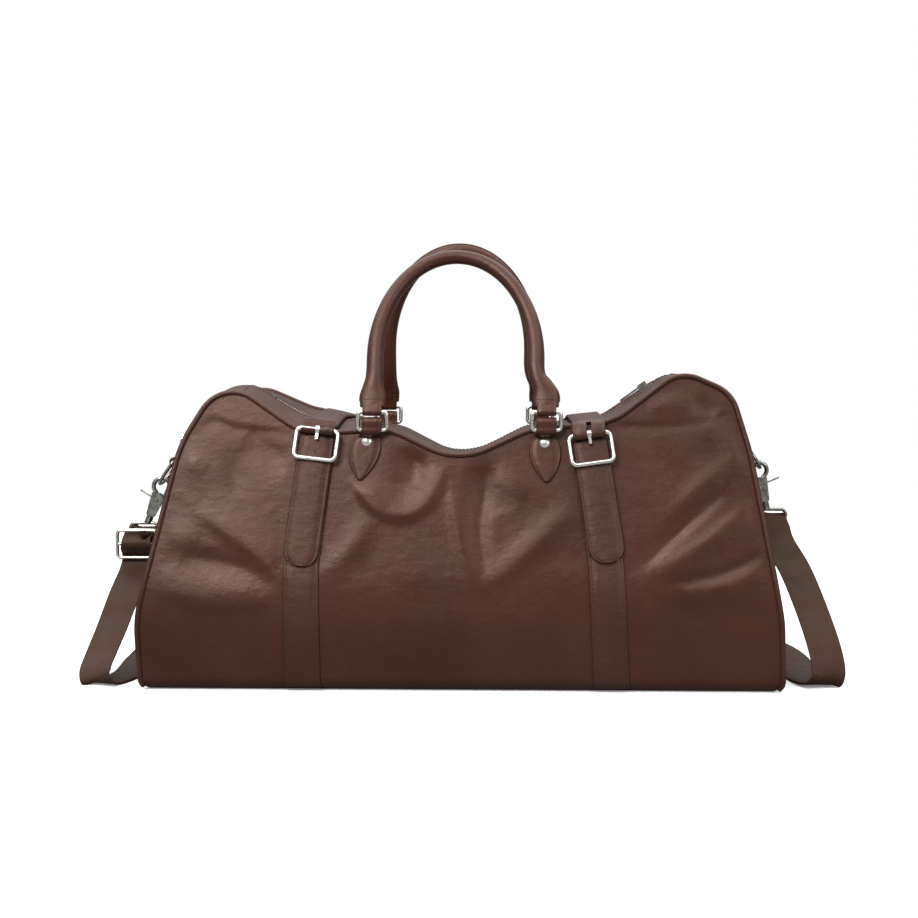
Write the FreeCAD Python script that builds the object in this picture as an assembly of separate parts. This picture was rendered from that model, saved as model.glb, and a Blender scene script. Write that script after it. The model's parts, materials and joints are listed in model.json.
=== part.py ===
import FreeCAD, Part
import math
import os

V = FreeCAD.Vector

# ------------------------------------------------------------------ driving dimensions (mm)
# The bag stands on its base at z = 0. X runs along the bag, the front faces -Y, Z is up.
# Outline of the front panel, anticlockwise: x, z and the radius of each corner.
OUTLINE = [
    (-270, 0, 10), (269, 0, 10), (267, 60, 120), (244, 200, 160), (230, 250, 30),
    (187, 269, 30), (128, 225, 55), (58, 219, 60), (-3, 191, 60), (-62, 219, 50),
    (-136, 215, 50), (-207, 263, 30), (-241, 206, 110), (-273, 60, 120),
]
# Corners of the rear panel that differ, by their number in OUTLINE.
REAR_CORNERS = {
    5: (187, 263, 30), 6: (128, 222, 55), 7: (58, 214, 60), 8: (0, 181, 60), 9: (-60, 213, 50),
    10: (-150, 233, 50), 11: (-207, 258, 30),
}
END_BULGE = {"left": 16.0, "right": 6.0}   # how far the end panels stand out at mid depth
BULGE_HEIGHT = 200.0       # height at which the bulge is full
TOP_CROWN = 4.0            # how far the top is higher along the zip than at the piping
CROWN_HALF_DEPTH = 80.0    # the bulge and the crown fade out to zero here
BASE_HALF_DEPTH = 120.0
KNEE_HALF_DEPTH = 123.0    # the front and the back are deepest at the knee
KNEE_HEIGHT = 78.0
FACE_TOP_HEIGHT = 300.0    # the sloping faces run on past the top of the bag
FACE_RISE = 177.0          # slope of the front and the back above the knee: rise
FACE_RUN = 48.0            # and run
LEATHER = 2.0
LINING = 0.8
BASE_SEAM_Y = 104.0
SEAM_LEFT_X = -190.0       # seams between the end panels and the top gusset
SEAM_RIGHT_X = 184.0

PIPING_HALF = 2.4
PIPING_CORE_HALF = 1.1

ZIP_LEFT_X = -176.0
ZIP_RIGHT_X = 176.0
ZIP_SLOT_HALF = 6.0
ZIP_TAPE_HALF = 16.0
ZIP_TOOTH_REACH = 3.1
SLIDER_SHARE = 0.60        # the slider stands this share of the way up the right-hand slope
PULL_LENGTH = 24.0

STRAP_WIDTH = 30.0
BELT = 2.2                 # thickness of the belts sewn to the front and the back
STRAP_GAP = 2.8            # underside of the loose straps above the leather
STRAP = 2.2
HINGE_Y = 84.8             # where each loose strap starts to bend at the back
HINGE_GAP = 1.3
TONGUE_TOP = 8.2           # ends of the tongue, measured from the buckle's centre
SNAP_RADIUS = 7.0

BUCKLE_WIRE = 1.9
BUCKLE_WIDTH = 35.6        # between wire centres
BUCKLE_HEIGHT = 25.4

RING_WIRE = 1.8
RING_WIDTH = 24.4          # between wire centres
RING_HEIGHT = 15.4
RING_Y = 92.2              # distance of the handle rings from the middle of the bag
RING_Z = 218.6             # height of their lower bars
RING_CENTRE_X = -2.2
RING_HALF_SPAN = 74.0
LOOP_WIDTH = 18.0

HANDLE_X = -6.0
HANDLE_HALF_SPAN = 69.0    # half axes of the elliptical arch, at the middle of the tube
HANDLE_RISE = 96.0
HANDLE_ARCH_Z = 289.0      # centre of the ellipse
HANDLE_TUBE = 6.7
HANDLE_CORE = 4.6
HANDLE_FOOT_Z = 268.0      # where the round tube starts to flare
HANDLE_LEAN = {"front": 26.0, "rear": 8.0}   # degrees towards the middle of the bag

DRING_WIRE = 1.6
DRING_WIDTH = 27.0
DRING_HEIGHT = 25.5
DRING_TILT = 35.0          # degrees outwards from hanging straight down
DRING_STANDOFF = 5.0
HARDWARE_Y = 3.2           # the side rings and hooks sit slightly behind the middle
HOOK_TILT = {"left": 22.0, "right": 12.0}
EYE_SHIFT = {"left": 3.0, "right": 5.0}   # the eye's middle is this much further out than the swivel
HOOK_RADIUS = 7.5
HOOK_WIRE = 2.0
COLLAR_FOOT = 36.5         # foot of the swivel, measured from the middle of the hook's loop
EYE_WIDTH = 26.0
EYE_HEIGHT = 7.5
EYE_WIRE = 1.6
SIDE_RING_Z = {"left": 186.0, "right": 202.0}

# Each loose strap: buckle centre x and z, lean in degrees, x of the strap on top of the bag,
# distance of the tongue's tip below the buckle's centre, and the sewn belt's x at its foot,
# at BELT_MID_Z and at BELT_TOP_Z.
STRAPS = {
    "left": (-124.0, 205.0, -6.5, -114.0, 104.5, (-133.0, -134.5, -125.7)),
    "right": (109.5, 201.5, 8.0, 107.0, 97.5, (126.0, 121.3, 112.0)),
}
BELT_FOOT_Z = 3.0
BELT_MID_Z = 105.0
BELT_TOP_Z = 190.0

# Handle tabs: x and z of the widest place, and lean in degrees.
TABS = {"left": (-83.4, 196.0, -9.0), "right": (71.0, 194.5, 2.5)}
TAB_THICK = 2.4

FACE_TILT = math.degrees(math.atan2(FACE_RISE, FACE_RUN))

os.makedirs("parts", exist_ok=True)


# ------------------------------------------------------------------ small tools
def save(name, shape):
    shape.exportStep("parts/" + name + ".step")


def unit(a, b):
    length = math.hypot(b[0] - a[0], b[1] - a[1])
    return ((b[0] - a[0]) / length, (b[1] - a[1]) / length)


def grown(corners, grow):
    """Move every side of an anticlockwise outline outwards by grow."""
    result = []
    for i, (x, y, radius) in enumerate(corners):
        before = unit(corners[i - 1], (x, y))
        after = unit((x, y), corners[(i + 1) % len(corners)])
        n1 = (before[1], -before[0])
        n2 = (after[1], -after[0])
        scale = grow / (1 + n1[0] * n2[0] + n1[1] * n2[1])
        convex = before[0] * after[1] - before[1] * after[0] > 0
        new_radius = radius + grow if convex else radius - grow
        if radius == 0:
            new_radius = 0
        result.append((x + (n1[0] + n2[0]) * scale, y + (n1[1] + n2[1]) * scale, max(new_radius, 0)))
    return result


def rounded(corners, place):
    """A closed wire of straight sides and tangent arcs, laid in space by place(u, v)."""
    spans = []
    for i, (x, y, radius) in enumerate(corners):
        before = unit(corners[i - 1], (x, y))
        after = unit((x, y), corners[(i + 1) % len(corners)])
        turn = math.acos(max(-1, min(1, before[0] * after[0] + before[1] * after[1])))
        reach = radius * math.tan(turn / 2)
        start = (x - before[0] * reach, y - before[1] * reach)
        end = (x + after[0] * reach, y + after[1] * reach)
        inward = (after[0] - before[0], after[1] - before[1])
        size = math.hypot(*inward) or 1
        depth = radius / math.cos(turn / 2) - radius
        middle = (x + inward[0] / size * depth, y + inward[1] / size * depth)
        spans.append((start, middle, end, reach > 1e-6))
    edges = []
    for i, (start, middle, end, is_arc) in enumerate(spans):
        if is_arc:
            edges.append(Part.Arc(place(*start), place(*middle), place(*end)).toShape())
        following = spans[(i + 1) % len(spans)][0]
        if math.hypot(following[0] - end[0], following[1] - end[1]) > 1e-6:
            edges.append(Part.makeLine(place(*end), place(*following)))
    return Part.Wire(edges)


def in_xz(y):
    return lambda u, v: V(u, y, v)


def in_yz(x):
    return lambda u, v: V(x, u, v)


def in_xy(z):
    return lambda u, v: V(u, v, z)


def slab(corners, place, along):
    return Part.Face(rounded(corners, place)).extrude(along)


def box(x0, x1, y0, y1, z0, z1):
    return Part.makeBox(x1 - x0, y1 - y0, z1 - z0, V(x0, y0, z0))


def rod(start, end, radius):
    return Part.makeCylinder(radius, (end - start).Length, start, end - start)


def loop(start, end, inner, outer):
    return rod(start, end, outer).cut(rod(start, end, inner))


def wire_ring(corners, place, radius):
    """A closed ring of round wire along a rounded outline."""
    path = rounded(corners, place)
    edge = path.Edges[0]
    start = edge.valueAt(edge.FirstParameter)
    tangent = edge.tangentAt(edge.FirstParameter)
    section = Part.Wire(Part.Circle(start, tangent, radius).toShape())
    return path.makePipeShell([section], True, False)


def rectangle(width, height, radius):
    w = width / 2
    h = height / 2
    return [(-w, -h, radius), (w, -h, radius), (w, h, radius), (-w, h, radius)]


def mirrored(shape):
    """The same piece on the back of the bag."""
    return shape.mirror(V(0, 0, 0), V(0, 1, 0))


# ------------------------------------------------------------------ the body's envelope
REAR_OUTLINE = [REAR_CORNERS.get(i, corner) for i, corner in enumerate(OUTLINE)]


def at_centre(front, rear):
    """A corner of the outline at mid depth, where the ends bulge and the top is crowned."""
    x = (front[0] + rear[0]) / 2
    z = (front[1] + rear[1]) / 2
    if z == 0:
        return front
    if abs(x) > 235:
        side = "left" if x < 0 else "right"
        bulge = END_BULGE[side] * math.sin(math.pi / 2 * min(z / BULGE_HEIGHT, 1))
        return (x + math.copysign(bulge, x), z, front[2])
    return (x, z + TOP_CROWN, front[2])


CENTRE_OUTLINE = [at_centre(front, rear) for front, rear in zip(OUTLINE, REAR_OUTLINE)]
PROFILE = [
    (-BASE_HALF_DEPTH, 0, 12), (BASE_HALF_DEPTH, 0, 12), (KNEE_HALF_DEPTH, KNEE_HEIGHT, 150),
    (KNEE_HALF_DEPTH - FACE_RUN / FACE_RISE * (FACE_TOP_HEIGHT - KNEE_HEIGHT), FACE_TOP_HEIGHT, 0),
    (FACE_RUN / FACE_RISE * (FACE_TOP_HEIGHT - KNEE_HEIGHT) - KNEE_HALF_DEPTH, FACE_TOP_HEIGHT, 0),
    (-KNEE_HALF_DEPTH, KNEE_HEIGHT, 150),
]
made = {}


def outline_solid(grow):
    """The whole outline, run from front to back, with its sides moved out by grow."""
    if ("outline", grow) not in made:
        far = 150
        places = [(-far, OUTLINE), (-CROWN_HALF_DEPTH, OUTLINE), (0, CENTRE_OUTLINE),
                  (CROWN_HALF_DEPTH, REAR_OUTLINE), (far, REAR_OUTLINE)]
        wires = [rounded(grown(corners, grow), in_xz(y)) for y, corners in places]
        made["outline", grow] = Part.makeLoft(wires, True, True)
    return made["outline", grow]


def profile_solid(grow):
    """The end profile, run along the bag, with its sides moved out by grow."""
    if ("profile", grow) not in made:
        made["profile", grow] = slab(grown(PROFILE, grow), in_yz(-400), V(800, 0, 0))
    return made["profile", grow]


def envelope(grow):
    if ("body", grow) not in made:
        made["body", grow] = outline_solid(grow).common(profile_solid(grow))
    return made["body", grow]


def layer(low, high, region):
    """A sheet that follows the body between two heights above its leather."""
    return envelope(high).common(region).cut(envelope(low))


def face_y(z):
    """Distance of the sloping front or back from the middle of the bag."""
    return KNEE_HALF_DEPTH - FACE_RUN / FACE_RISE * (z - KNEE_HEIGHT)


def on_front(shape, x, z, lean):
    """Lay a piece modelled flat (y up the face, z out of it) on the sloping front."""
    result = shape.copy()
    result.rotate(V(0, 0, 0), V(0, 0, 1), lean)
    result.rotate(V(0, 0, 0), V(1, 0, 0), FACE_TILT)
    result.translate(V(x, -face_y(z), z))
    return result


# ------------------------------------------------------------------ piping
def piping(half, region):
    around = outline_solid(half).cut(outline_solid(-half))
    beside = profile_solid(half).cut(profile_solid(-half))
    return around.common(beside).common(region)


HALVES = {"front": box(-400, 400, -200, 0, -1, 320), "rear": box(-400, 400, 0, 200, -1, 320)}
above_base = box(-400, 400, -200, 200, BELT_FOOT_Z, 320)
whole_piping = {end: piping(PIPING_HALF, half.common(above_base)) for end, half in HALVES.items()}
piping_cord = {end: piping(PIPING_CORE_HALF, half.common(above_base)) for end, half in HALVES.items()}
for end in HALVES:
    save(end + "_piping", whole_piping[end].cut(piping_cord[end]))
save("piping_cords", Part.Compound(list(piping_cord.values())))
both_pipings = whole_piping["front"].fuse(whole_piping["rear"])


# ------------------------------------------------------------------ tab rivets
def rivet_on_front(x, z):
    shank = Part.makeCylinder(1.6, 6.0, V(0, 0, -3.0))
    cap = Part.makeSphere(7.0, V(0, 0, -3.0)).common(Part.makeCylinder(4.7, 6.0, V(0, 0, TAB_THICK)))
    return on_front(shank.fuse(cap), x, z, 0)


def tab_point(side, up):
    """A place on the middle line of a handle tab, up the face from its widest place."""
    x, z, lean = TABS[side]
    angle = math.radians(lean)
    rise = math.sin(math.radians(FACE_TILT))
    return (x - math.sin(angle) * up, z + math.cos(angle) * up * rise)


front_rivets = [rivet_on_front(*tab_point(side, 13.5)) for side in ("left", "right")]
handle_rivets = front_rivets + [mirrored(rivet) for rivet in front_rivets]
rivet_tool = handle_rivets[0].fuse(handle_rivets[1:])

# ------------------------------------------------------------------ leather panels
outer_skin = envelope(0).cut(profile_solid(-LEATHER)).cut(both_pipings)
base_region = box(-400, 400, -BASE_SEAM_Y, BASE_SEAM_Y, -1, 10)
for end, half in HALVES.items():
    save(end + "_panel", outer_skin.common(half).cut(base_region).cut(rivet_tool))
base_block = box(-400, 400, -BASE_SEAM_Y, BASE_SEAM_Y, 0, 10)
save("base_panel", base_block.common(outer_skin).removeSplitter())

rim = outline_solid(0).common(profile_solid(-LEATHER)).cut(outline_solid(-LEATHER)).cut(both_pipings)
save("left_end_panel", rim.common(box(-400, SEAM_LEFT_X, -200, 200, -1, 300)))
save("right_end_panel", rim.common(box(SEAM_RIGHT_X, 400, -200, 200, -1, 300)))

zip_slot = box(ZIP_LEFT_X, ZIP_RIGHT_X, -ZIP_SLOT_HALF, ZIP_SLOT_HALF, 100, 300)
top_rim = rim.common(box(SEAM_LEFT_X, SEAM_RIGHT_X, -200, 200, 100, 300)).cut(zip_slot)
tape_band = outline_solid(-LEATHER).cut(outline_solid(-LEATHER - LINING))
tape_region = box(ZIP_LEFT_X - 6, ZIP_RIGHT_X + 6, -ZIP_TAPE_HALF, ZIP_TAPE_HALF, 100, 300)
tooth_band = outline_solid(-0.2).cut(outline_solid(-LEATHER))
tooth_region = box(ZIP_LEFT_X + 4, ZIP_RIGHT_X - 4, -ZIP_TOOTH_REACH, -0.1, 100, 300)
tooth_regions = {"front": tooth_region, "rear": mirrored(tooth_region)}
for end, half in HALVES.items():
    save(end + "_zip_gusset", top_rim.common(half))
    save(end + "_zip_tape", tape_band.common(tape_region).common(half))
    save(end + "_zip_teeth", tooth_band.common(tooth_regions[end]))

stop_band = outline_solid(1.0).cut(outline_solid(-LEATHER))
stops = [stop_band.common(box(x, x + 2.6, -3.6, 3.6, 100, 300))
         for x in (ZIP_LEFT_X + 0.8, ZIP_RIGHT_X - 3.4)]
save("zip_end_stops", Part.Compound(stops))

lining = envelope(-LEATHER).cut(envelope(-LEATHER - LINING))
lining = lining.cut(tape_region).cut(both_pipings).cut(rivet_tool)
save("lining", lining)
board_depth = 2 * BASE_SEAM_Y - 6
board = slab(rectangle(516, board_depth, 20), in_xy(LEATHER + LINING), V(0, 0, 2.5))
save("base_board", board)


# ------------------------------------------------------------------ straps and buckles
def belt_region(feet):
    foot, middle, top = feet
    half = STRAP_WIDTH / 2
    corners = [(foot - half, BELT_FOOT_Z, 0), (foot + half, BELT_FOOT_Z, 0),
               (middle + half, BELT_MID_Z, 0), (top + half, BELT_TOP_Z, 0),
               (top - half, BELT_TOP_Z, 0), (middle - half, BELT_MID_Z, 0)]
    return slab(corners, in_xz(-200), V(0, 200, 0))


def buckle_frame(side):
    """The buckle lies flat over the tongue, round the end of the top strap."""
    height = STRAP_GAP + STRAP + 0.3 + BUCKLE_WIRE
    frame = wire_ring(rectangle(BUCKLE_WIDTH, BUCKLE_HEIGHT, 4.5), in_xy(height), BUCKLE_WIRE)
    x, z, lean = STRAPS[side][:3]
    return on_front(frame, x, z, lean)


def buckle_strap(side):
    """The loose strap: over the top of the bag and round the buckle's upper bar."""
    x, z, lean, top_x = STRAPS[side][:4]
    half = STRAP_WIDTH / 2
    height = STRAP_GAP + STRAP + 0.3 + BUCKLE_WIRE
    bar = BUCKLE_HEIGHT / 2
    fold = loop(V(-half, bar, height), V(half, bar, height), BUCKLE_WIRE + 0.05, 4.0)
    fold = fold.cut(box(-2.3, 2.3, bar - 6, bar + 6, height - 6, height + 6))
    fold = on_front(fold, x, z, lean)
    bar_z = z + bar * math.sin(math.radians(FACE_TILT))
    region = box(top_x - half, top_x + half, -120, HINGE_Y - HINGE_GAP, bar_z - 0.5, 300)
    plate = layer(STRAP_GAP, STRAP_GAP + STRAP, region)
    solid = plate.fuse(fold)
    bar_rod = rod(V(-half - 5, bar, height), V(half + 5, bar, height), BUCKLE_WIRE + 0.05)
    slot = box(-2.3, 2.3, bar - 5.2, bar + 3.8, STRAP_GAP - 1, height + 6)
    solid = solid.cut(on_front(bar_rod, x, z, lean)).cut(buckle_frame(side))
    return solid.cut(on_front(slot, x, z, lean))


def tongue(side):
    """The tongue hangs from the buckle, ends in a round tip and has two punched holes."""
    x, z, lean, _, tip = STRAPS[side][:5]
    half = STRAP_WIDTH / 2
    corners = [(-half, -tip, 13), (half, -tip, 13), (half, TONGUE_TOP, 4), (-half, TONGUE_TOP, 4)]
    plate = slab(corners, in_xy(STRAP_GAP), V(0, 0, STRAP))
    for up in (-4.0, -38.0):
        plate = plate.cut(Part.makeCylinder(1.5, 10, V(0, up, 0)))
    cap = snap_disc(side, STRAP_GAP + 0.2)
    return on_front(plate, x, z, lean).cut(cap), cap


def snap_disc(side, height):
    x, z, lean, _, tip = STRAPS[side][:5]
    disc = Part.makeCylinder(SNAP_RADIUS, 1.1, V(0, 17 - tip, height))
    return on_front(disc, x, z, lean)


def prong(side):
    """The prong turns on the buckle's upper bar and points down over the tongue."""
    height = STRAP_GAP + STRAP + 0.3 + BUCKLE_WIRE
    bar = BUCKLE_HEIGHT / 2
    ring = loop(V(-1.6, bar, height), V(1.6, bar, height), BUCKLE_WIRE + 0.08, 3.5)
    stem = box(-1.2, 1.2, bar - 8.5, bar - 2.4, height - 0.6, height + 1.4)
    x, z, lean = STRAPS[side][:3]
    return on_front(ring.fuse(stem), x, z, lean)


snap_bases = []
for side in ("left", "right"):
    top_x, feet = STRAPS[side][3], STRAPS[side][5]
    half = STRAP_WIDTH / 2
    snap_base = snap_disc(side, BELT - 1.2)
    snap_bases.append(snap_base)
    front_belt = layer(0, BELT, belt_region(feet)).cut(snap_base)
    save(side + "_front_belt", front_belt)
    rear_low = layer(0, BELT, mirrored(belt_region((feet[0], top_x, top_x))))
    corner = box(top_x - half, top_x + half, HINGE_Y + HINGE_GAP, 200, BELT_TOP_Z - 5, 300)
    rear_high = layer(0, STRAP_GAP + STRAP, corner)
    save(side + "_rear_belt", rear_low.fuse(rear_high).cut(both_pipings).removeSplitter())
    save(side + "_top_strap", buckle_strap(side))
    save(side + "_buckle", buckle_frame(side))
    save(side + "_prong", prong(side))
    plate, cap = tongue(side)
    save(side + "_tongue", plate)
    save(side + "_snap_cap", cap)
save("snap_bases", Part.Compound(snap_bases))


# ------------------------------------------------------------------ handle tabs, rings, handles
def ring_x(side):
    return RING_CENTRE_X + math.copysign(RING_HALF_SPAN, -1 if side == "left" else 1)


def handle_tab(side):
    """A pointed leather leaf, with a slack loop at its neck that holds the ring."""
    leaf = [(0, -21, 1.5), (13.6, 3, 12), (12.6, 16, 3), (9, 18.5, 1), (9, 21, 0),
            (-9, 21, 0), (-9, 18.5, 1), (-12.6, 16, 3), (-13.6, 3, 12)]
    plate = slab(leaf, in_xy(0), V(0, 0, TAB_THICK))
    x, z, lean = TABS[side]
    plate = on_front(plate, x, z, lean)
    centre = ring_x(side)
    low = RING_Z
    high = RING_Z + 7.0
    half = LOOP_WIDTH / 2
    inner = RING_WIRE + 0.1
    outer = inner + 2.0

    def stadium(radius):
        corners = [(-RING_Y - radius, low - radius, radius), (-RING_Y + radius, low - radius, radius),
                   (-RING_Y + radius, high + radius, radius), (-RING_Y - radius, high + radius, radius)]
        return slab(corners, in_yz(centre - half), V(LOOP_WIDTH, 0, 0))

    neck = box(centre - half, centre + half, -RING_Y, -RING_Y + 4.6, low - 6, low - 0.5)
    neck = neck.cut(envelope(0))
    solid = plate.fuse([stadium(outer), neck])
    solid = solid.cut(stadium(inner)).cut(both_pipings).cut(rivet_tool)
    return solid


def handle_ring(side):
    frame = rectangle(RING_WIDTH, RING_HEIGHT, 3.0)
    moved = [(x + ring_x(side), z + RING_Z + RING_HEIGHT / 2, r) for x, z, r in frame]
    return wire_ring(moved, in_xz(-RING_Y), RING_WIRE)


def ellipse_wire(x, z, half_width, half_depth):
    curve = Part.Ellipse(V(x, -RING_Y, z), half_width, half_depth)
    return Part.Wire(curve.toShape())


def handle_foot(side):
    """The flattened end of the handle, sewn round the ring's upper bar."""
    sign = -1 if side == "left" else 1
    leg_x = HANDLE_X + sign * HANDLE_HALF_SPAN
    foot_x = ring_x(side)
    bar_z = RING_Z + RING_HEIGHT
    sections = [ellipse_wire(leg_x, HANDLE_FOOT_Z + 4, 5.6, 5.5),
                ellipse_wire(foot_x, HANDLE_FOOT_Z - 19, 11.0, 4.0),
                ellipse_wire(foot_x, bar_z + 3.5, 9.6, 3.6)]
    flare = Part.makeLoft(sections, True, False)
    half = LOOP_WIDTH / 2
    wrap = rod(V(foot_x - half, -RING_Y, bar_z), V(foot_x + half, -RING_Y, bar_z), 4.0)
    block = box(foot_x - half, foot_x + half, -RING_Y - 3.4, -RING_Y + 3.4, bar_z, bar_z + 5)
    return flare.fuse([wrap, block])


def handle_arch(radius):
    left = V(HANDLE_X - HANDLE_HALF_SPAN, -RING_Y, HANDLE_FOOT_Z)
    right = V(HANDLE_X + HANDLE_HALF_SPAN, -RING_Y, HANDLE_FOOT_Z)
    spring = V(0, 0, HANDLE_ARCH_Z - HANDLE_FOOT_Z)
    centre = V(HANDLE_X, -RING_Y, HANDLE_ARCH_Z)
    arch = Part.Ellipse(centre + V(0, 0, HANDLE_RISE), right + spring, centre)
    path = Part.Wire([Part.makeLine(left, left + spring),
                      Part.ArcOfEllipse(arch, -math.pi / 2, math.pi / 2).toShape(),
                      Part.makeLine(right + spring, right)])
    section = Part.Wire(Part.Circle(left, V(0, 0, 1), radius).toShape())
    return path.makePipeShell([section], True, False)


def lean_in(shape, end):
    result = shape.copy()
    result.rotate(V(0, -RING_Y, RING_Z + RING_HEIGHT), V(1, 0, 0), -HANDLE_LEAN[end])
    return result


core = handle_arch(HANDLE_CORE)
bars = [rod(V(ring_x(side) - 20, -RING_Y, RING_Z + RING_HEIGHT),
            V(ring_x(side) + 20, -RING_Y, RING_Z + RING_HEIGHT), RING_WIRE + 0.08)
        for side in ("left", "right")]
handle = handle_arch(HANDLE_TUBE).fuse([handle_foot("left"), handle_foot("right")])
handle = handle.cut(core).cut(bars[0]).cut(bars[1])
for end, turned in (("front", lambda shape: shape), ("rear", mirrored)):
    save(end + "_handle", turned(lean_in(handle, end)))
    save(end + "_handle_core", turned(lean_in(core, end)))
    for side in ("left", "right"):
        save(end + "_" + side + "_tab", turned(handle_tab(side)).cut(both_pipings))
        save(end + "_" + side + "_ring", turned(handle_ring(side)))

# ------------------------------------------------------------------ zip slider and its pull
lower_corner, upper_corner = CENTRE_OUTLINE[6], CENTRE_OUTLINE[5]
slope = math.atan2(upper_corner[1] - lower_corner[1], upper_corner[0] - lower_corner[0])
slope_length = math.hypot(upper_corner[1] - lower_corner[1], upper_corner[0] - lower_corner[0])
slider_place = SLIDER_SHARE * slope_length
slider_origin = V(lower_corner[0] + math.cos(slope) * slider_place, 0,
                  lower_corner[1] + math.sin(slope) * slider_place)


def on_slope(shape):
    """Place a piece modelled with x up the slope and z out of the top of the bag."""
    result = shape.copy()
    result.rotate(V(0, 0, 0), V(0, 1, 0), -math.degrees(slope))
    result.translate(slider_origin)
    return result


slider = box(-6, 6, -4.6, 4.6, 0.5, 1.8)
for y in (-4.6, 3.6):
    slider = slider.fuse(box(-6, 6, y, y + 1.0, -1.4, 1.0))
bridge = box(-4, 4, -1.5, 1.5, 1.5, 5.6).cut(rod(V(0, -5, 3.6), V(0, 5, 3.6), 1.0))
slider = slider.fuse(bridge)
save("zip_slider", on_slope(slider))
pull = box(-PULL_LENGTH, 1.5, -3.2, 3.2, 2.9, 4.3)
pull = pull.cut(box(-5.4, 5.4, -1.9, 1.9, 0, 8)).fuse(rod(V(0, -3.0, 3.6), V(0, 3.0, 3.6), 0.92))
pull = pull.cut(Part.makeCylinder(1.8, 10, V(3.8 - PULL_LENGTH, 0, 0)))
save("zip_pull", on_slope(pull))


# ------------------------------------------------------------------ side rings and their tabs
def end_x(z):
    """x of the left end panel at mid depth."""
    low, high = CENTRE_OUTLINE[-1], CENTRE_OUTLINE[-2]
    return low[0] + (high[0] - low[0]) * (z - low[1]) / (high[1] - low[1])


def right_end_x(z):
    for low, high in zip(CENTRE_OUTLINE[2:4], CENTRE_OUTLINE[3:5]):
        if low[1] <= z <= high[1]:
            return low[0] + (high[0] - low[0]) * (z - low[1]) / (high[1] - low[1])


LEFT_BAR = V(end_x(SIDE_RING_Z["left"]) - DRING_STANDOFF, HARDWARE_Y, SIDE_RING_Z["left"])
RIGHT_BAR = V(right_end_x(SIDE_RING_Z["right"]) + DRING_STANDOFF, HARDWARE_Y, SIDE_RING_Z["right"])


def put(shape, side):
    """Place left-hand side hardware, modelled about its ring's bar, on either end."""
    result = shape.copy()
    if side == "right":
        result = result.mirror(V(0, 0, 0), V(1, 0, 0))
    result.translate(LEFT_BAR if side == "left" else RIGHT_BAR)
    return result


def tilted(shape, degrees, centre):
    result = shape.copy()
    result.rotate(centre, V(0, 1, 0), degrees)
    return result


d_shape = [(-DRING_WIDTH / 2, -DRING_HEIGHT, 12.5), (DRING_WIDTH / 2, -DRING_HEIGHT, 12.5),
           (DRING_WIDTH / 2, 0, 2.5), (-DRING_WIDTH / 2, 0, 2.5)]
d_ring = tilted(wire_ring(d_shape, in_yz(0), DRING_WIRE), DRING_TILT, V(0, 0, 0))
BAR_LOOP = loop(V(0, -11, 0), V(0, 11, 0), DRING_WIRE + 0.08, 4.1)

# The hook hangs in the D-ring. It is modelled upright about the middle of its own loop.
hook_centre = V(1.0 - DRING_HEIGHT * math.sin(math.radians(DRING_TILT)), 0,
                -2.6 - DRING_HEIGHT * math.cos(math.radians(DRING_TILT)))


def at_hook(shape, side):
    result = tilted(shape, HOOK_TILT[side], V(0, 0, 0))
    result.translate(hook_centre)
    return result


def arc_rod(start_angle, end_angle, radius, wire_radius):
    """Round wire bent on an arc in XZ; angles are measured from +X towards +Z."""
    def point(angle):
        return V(radius * math.cos(math.radians(angle)), 0, radius * math.sin(math.radians(angle)))
    path = Part.Wire(Part.Arc(point(start_angle), point((start_angle + end_angle) / 2),
                              point(end_angle)).toShape())
    angle = math.radians(start_angle)
    section = Part.Wire(Part.Circle(point(start_angle), V(-math.sin(angle), 0, math.cos(angle)),
                                    wire_radius).toShape())
    return path.makePipeShell([section], True, False)


claw = arc_rod(255, 50, HOOK_RADIUS, HOOK_WIRE)
body_corners = [(-4.0, -29.0, 1.0), (4.0, -29.0, 1.0), (6.2, -9.5, 2.0), (2.0, -6.5, 1.0),
                (-6.0, -7.0, 1.5)]
hook_body = slab(body_corners, in_xz(-3.0), V(0, 6.0, 0))
hook = claw.fuse(hook_body)
hook = hook.cut(box(-12, 12, -1.3, 1.3, -17.5, -8.3)).cut(rod(V(0, 0, -30), V(0, 0, -20.5), 1.6))
hook = hook.cut(box(0.5, 12, -1.3, 1.3, -12, -4))
gate_pin = rod(V(0, -3.4, -13), V(0, 3.4, -13), 1.2)
gate_hole = rod(V(0, -5, -13), V(0, 5, -13), 1.27)
hook = hook.cut(gate_hole)
gate_plate = [(-2.4, -15.4, 1), (2.8, -15.4, 1), (6.6, -6.0, 1), (6.6, 3.2, 0.8), (4.6, 3.2, 0.8),
              (4.3, -6.0, 1), (-1.5, -10.6, 0.8)]
gate = slab(gate_plate, in_xz(-0.9), V(0, 1.8, 0)).fuse(rod(V(-1, 0, -13), V(-17, 0, -10.2), 0.85))
gate = gate.fuse(gate_pin)

collar = rod(V(0, 0, -COLLAR_FOOT), V(0, 0, -29.3), 3.4).fuse(rod(V(0, 0, -30), V(0, 0, -21.5), 1.53))


def eye_bar(side):
    """Middle of the lower bar of the hook's eye."""
    angle = math.radians(HOOK_TILT[side])
    return hook_centre + V(-COLLAR_FOOT * math.sin(angle) - EYE_SHIFT[side], 0,
                           -COLLAR_FOOT * math.cos(angle) - EYE_HEIGHT)


def hook_eye(side):
    bar = eye_bar(side)
    half = EYE_WIDTH / 2
    corners = [(bar.x - half, bar.z, 2.2), (bar.x + half, bar.z, 2.2),
               (bar.x + half, bar.z + EYE_HEIGHT, 5.0), (bar.x - half, bar.z + EYE_HEIGHT, 5.0)]
    return wire_ring(corners, in_xz(0), EYE_WIRE).fuse(at_hook(collar, side))


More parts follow.
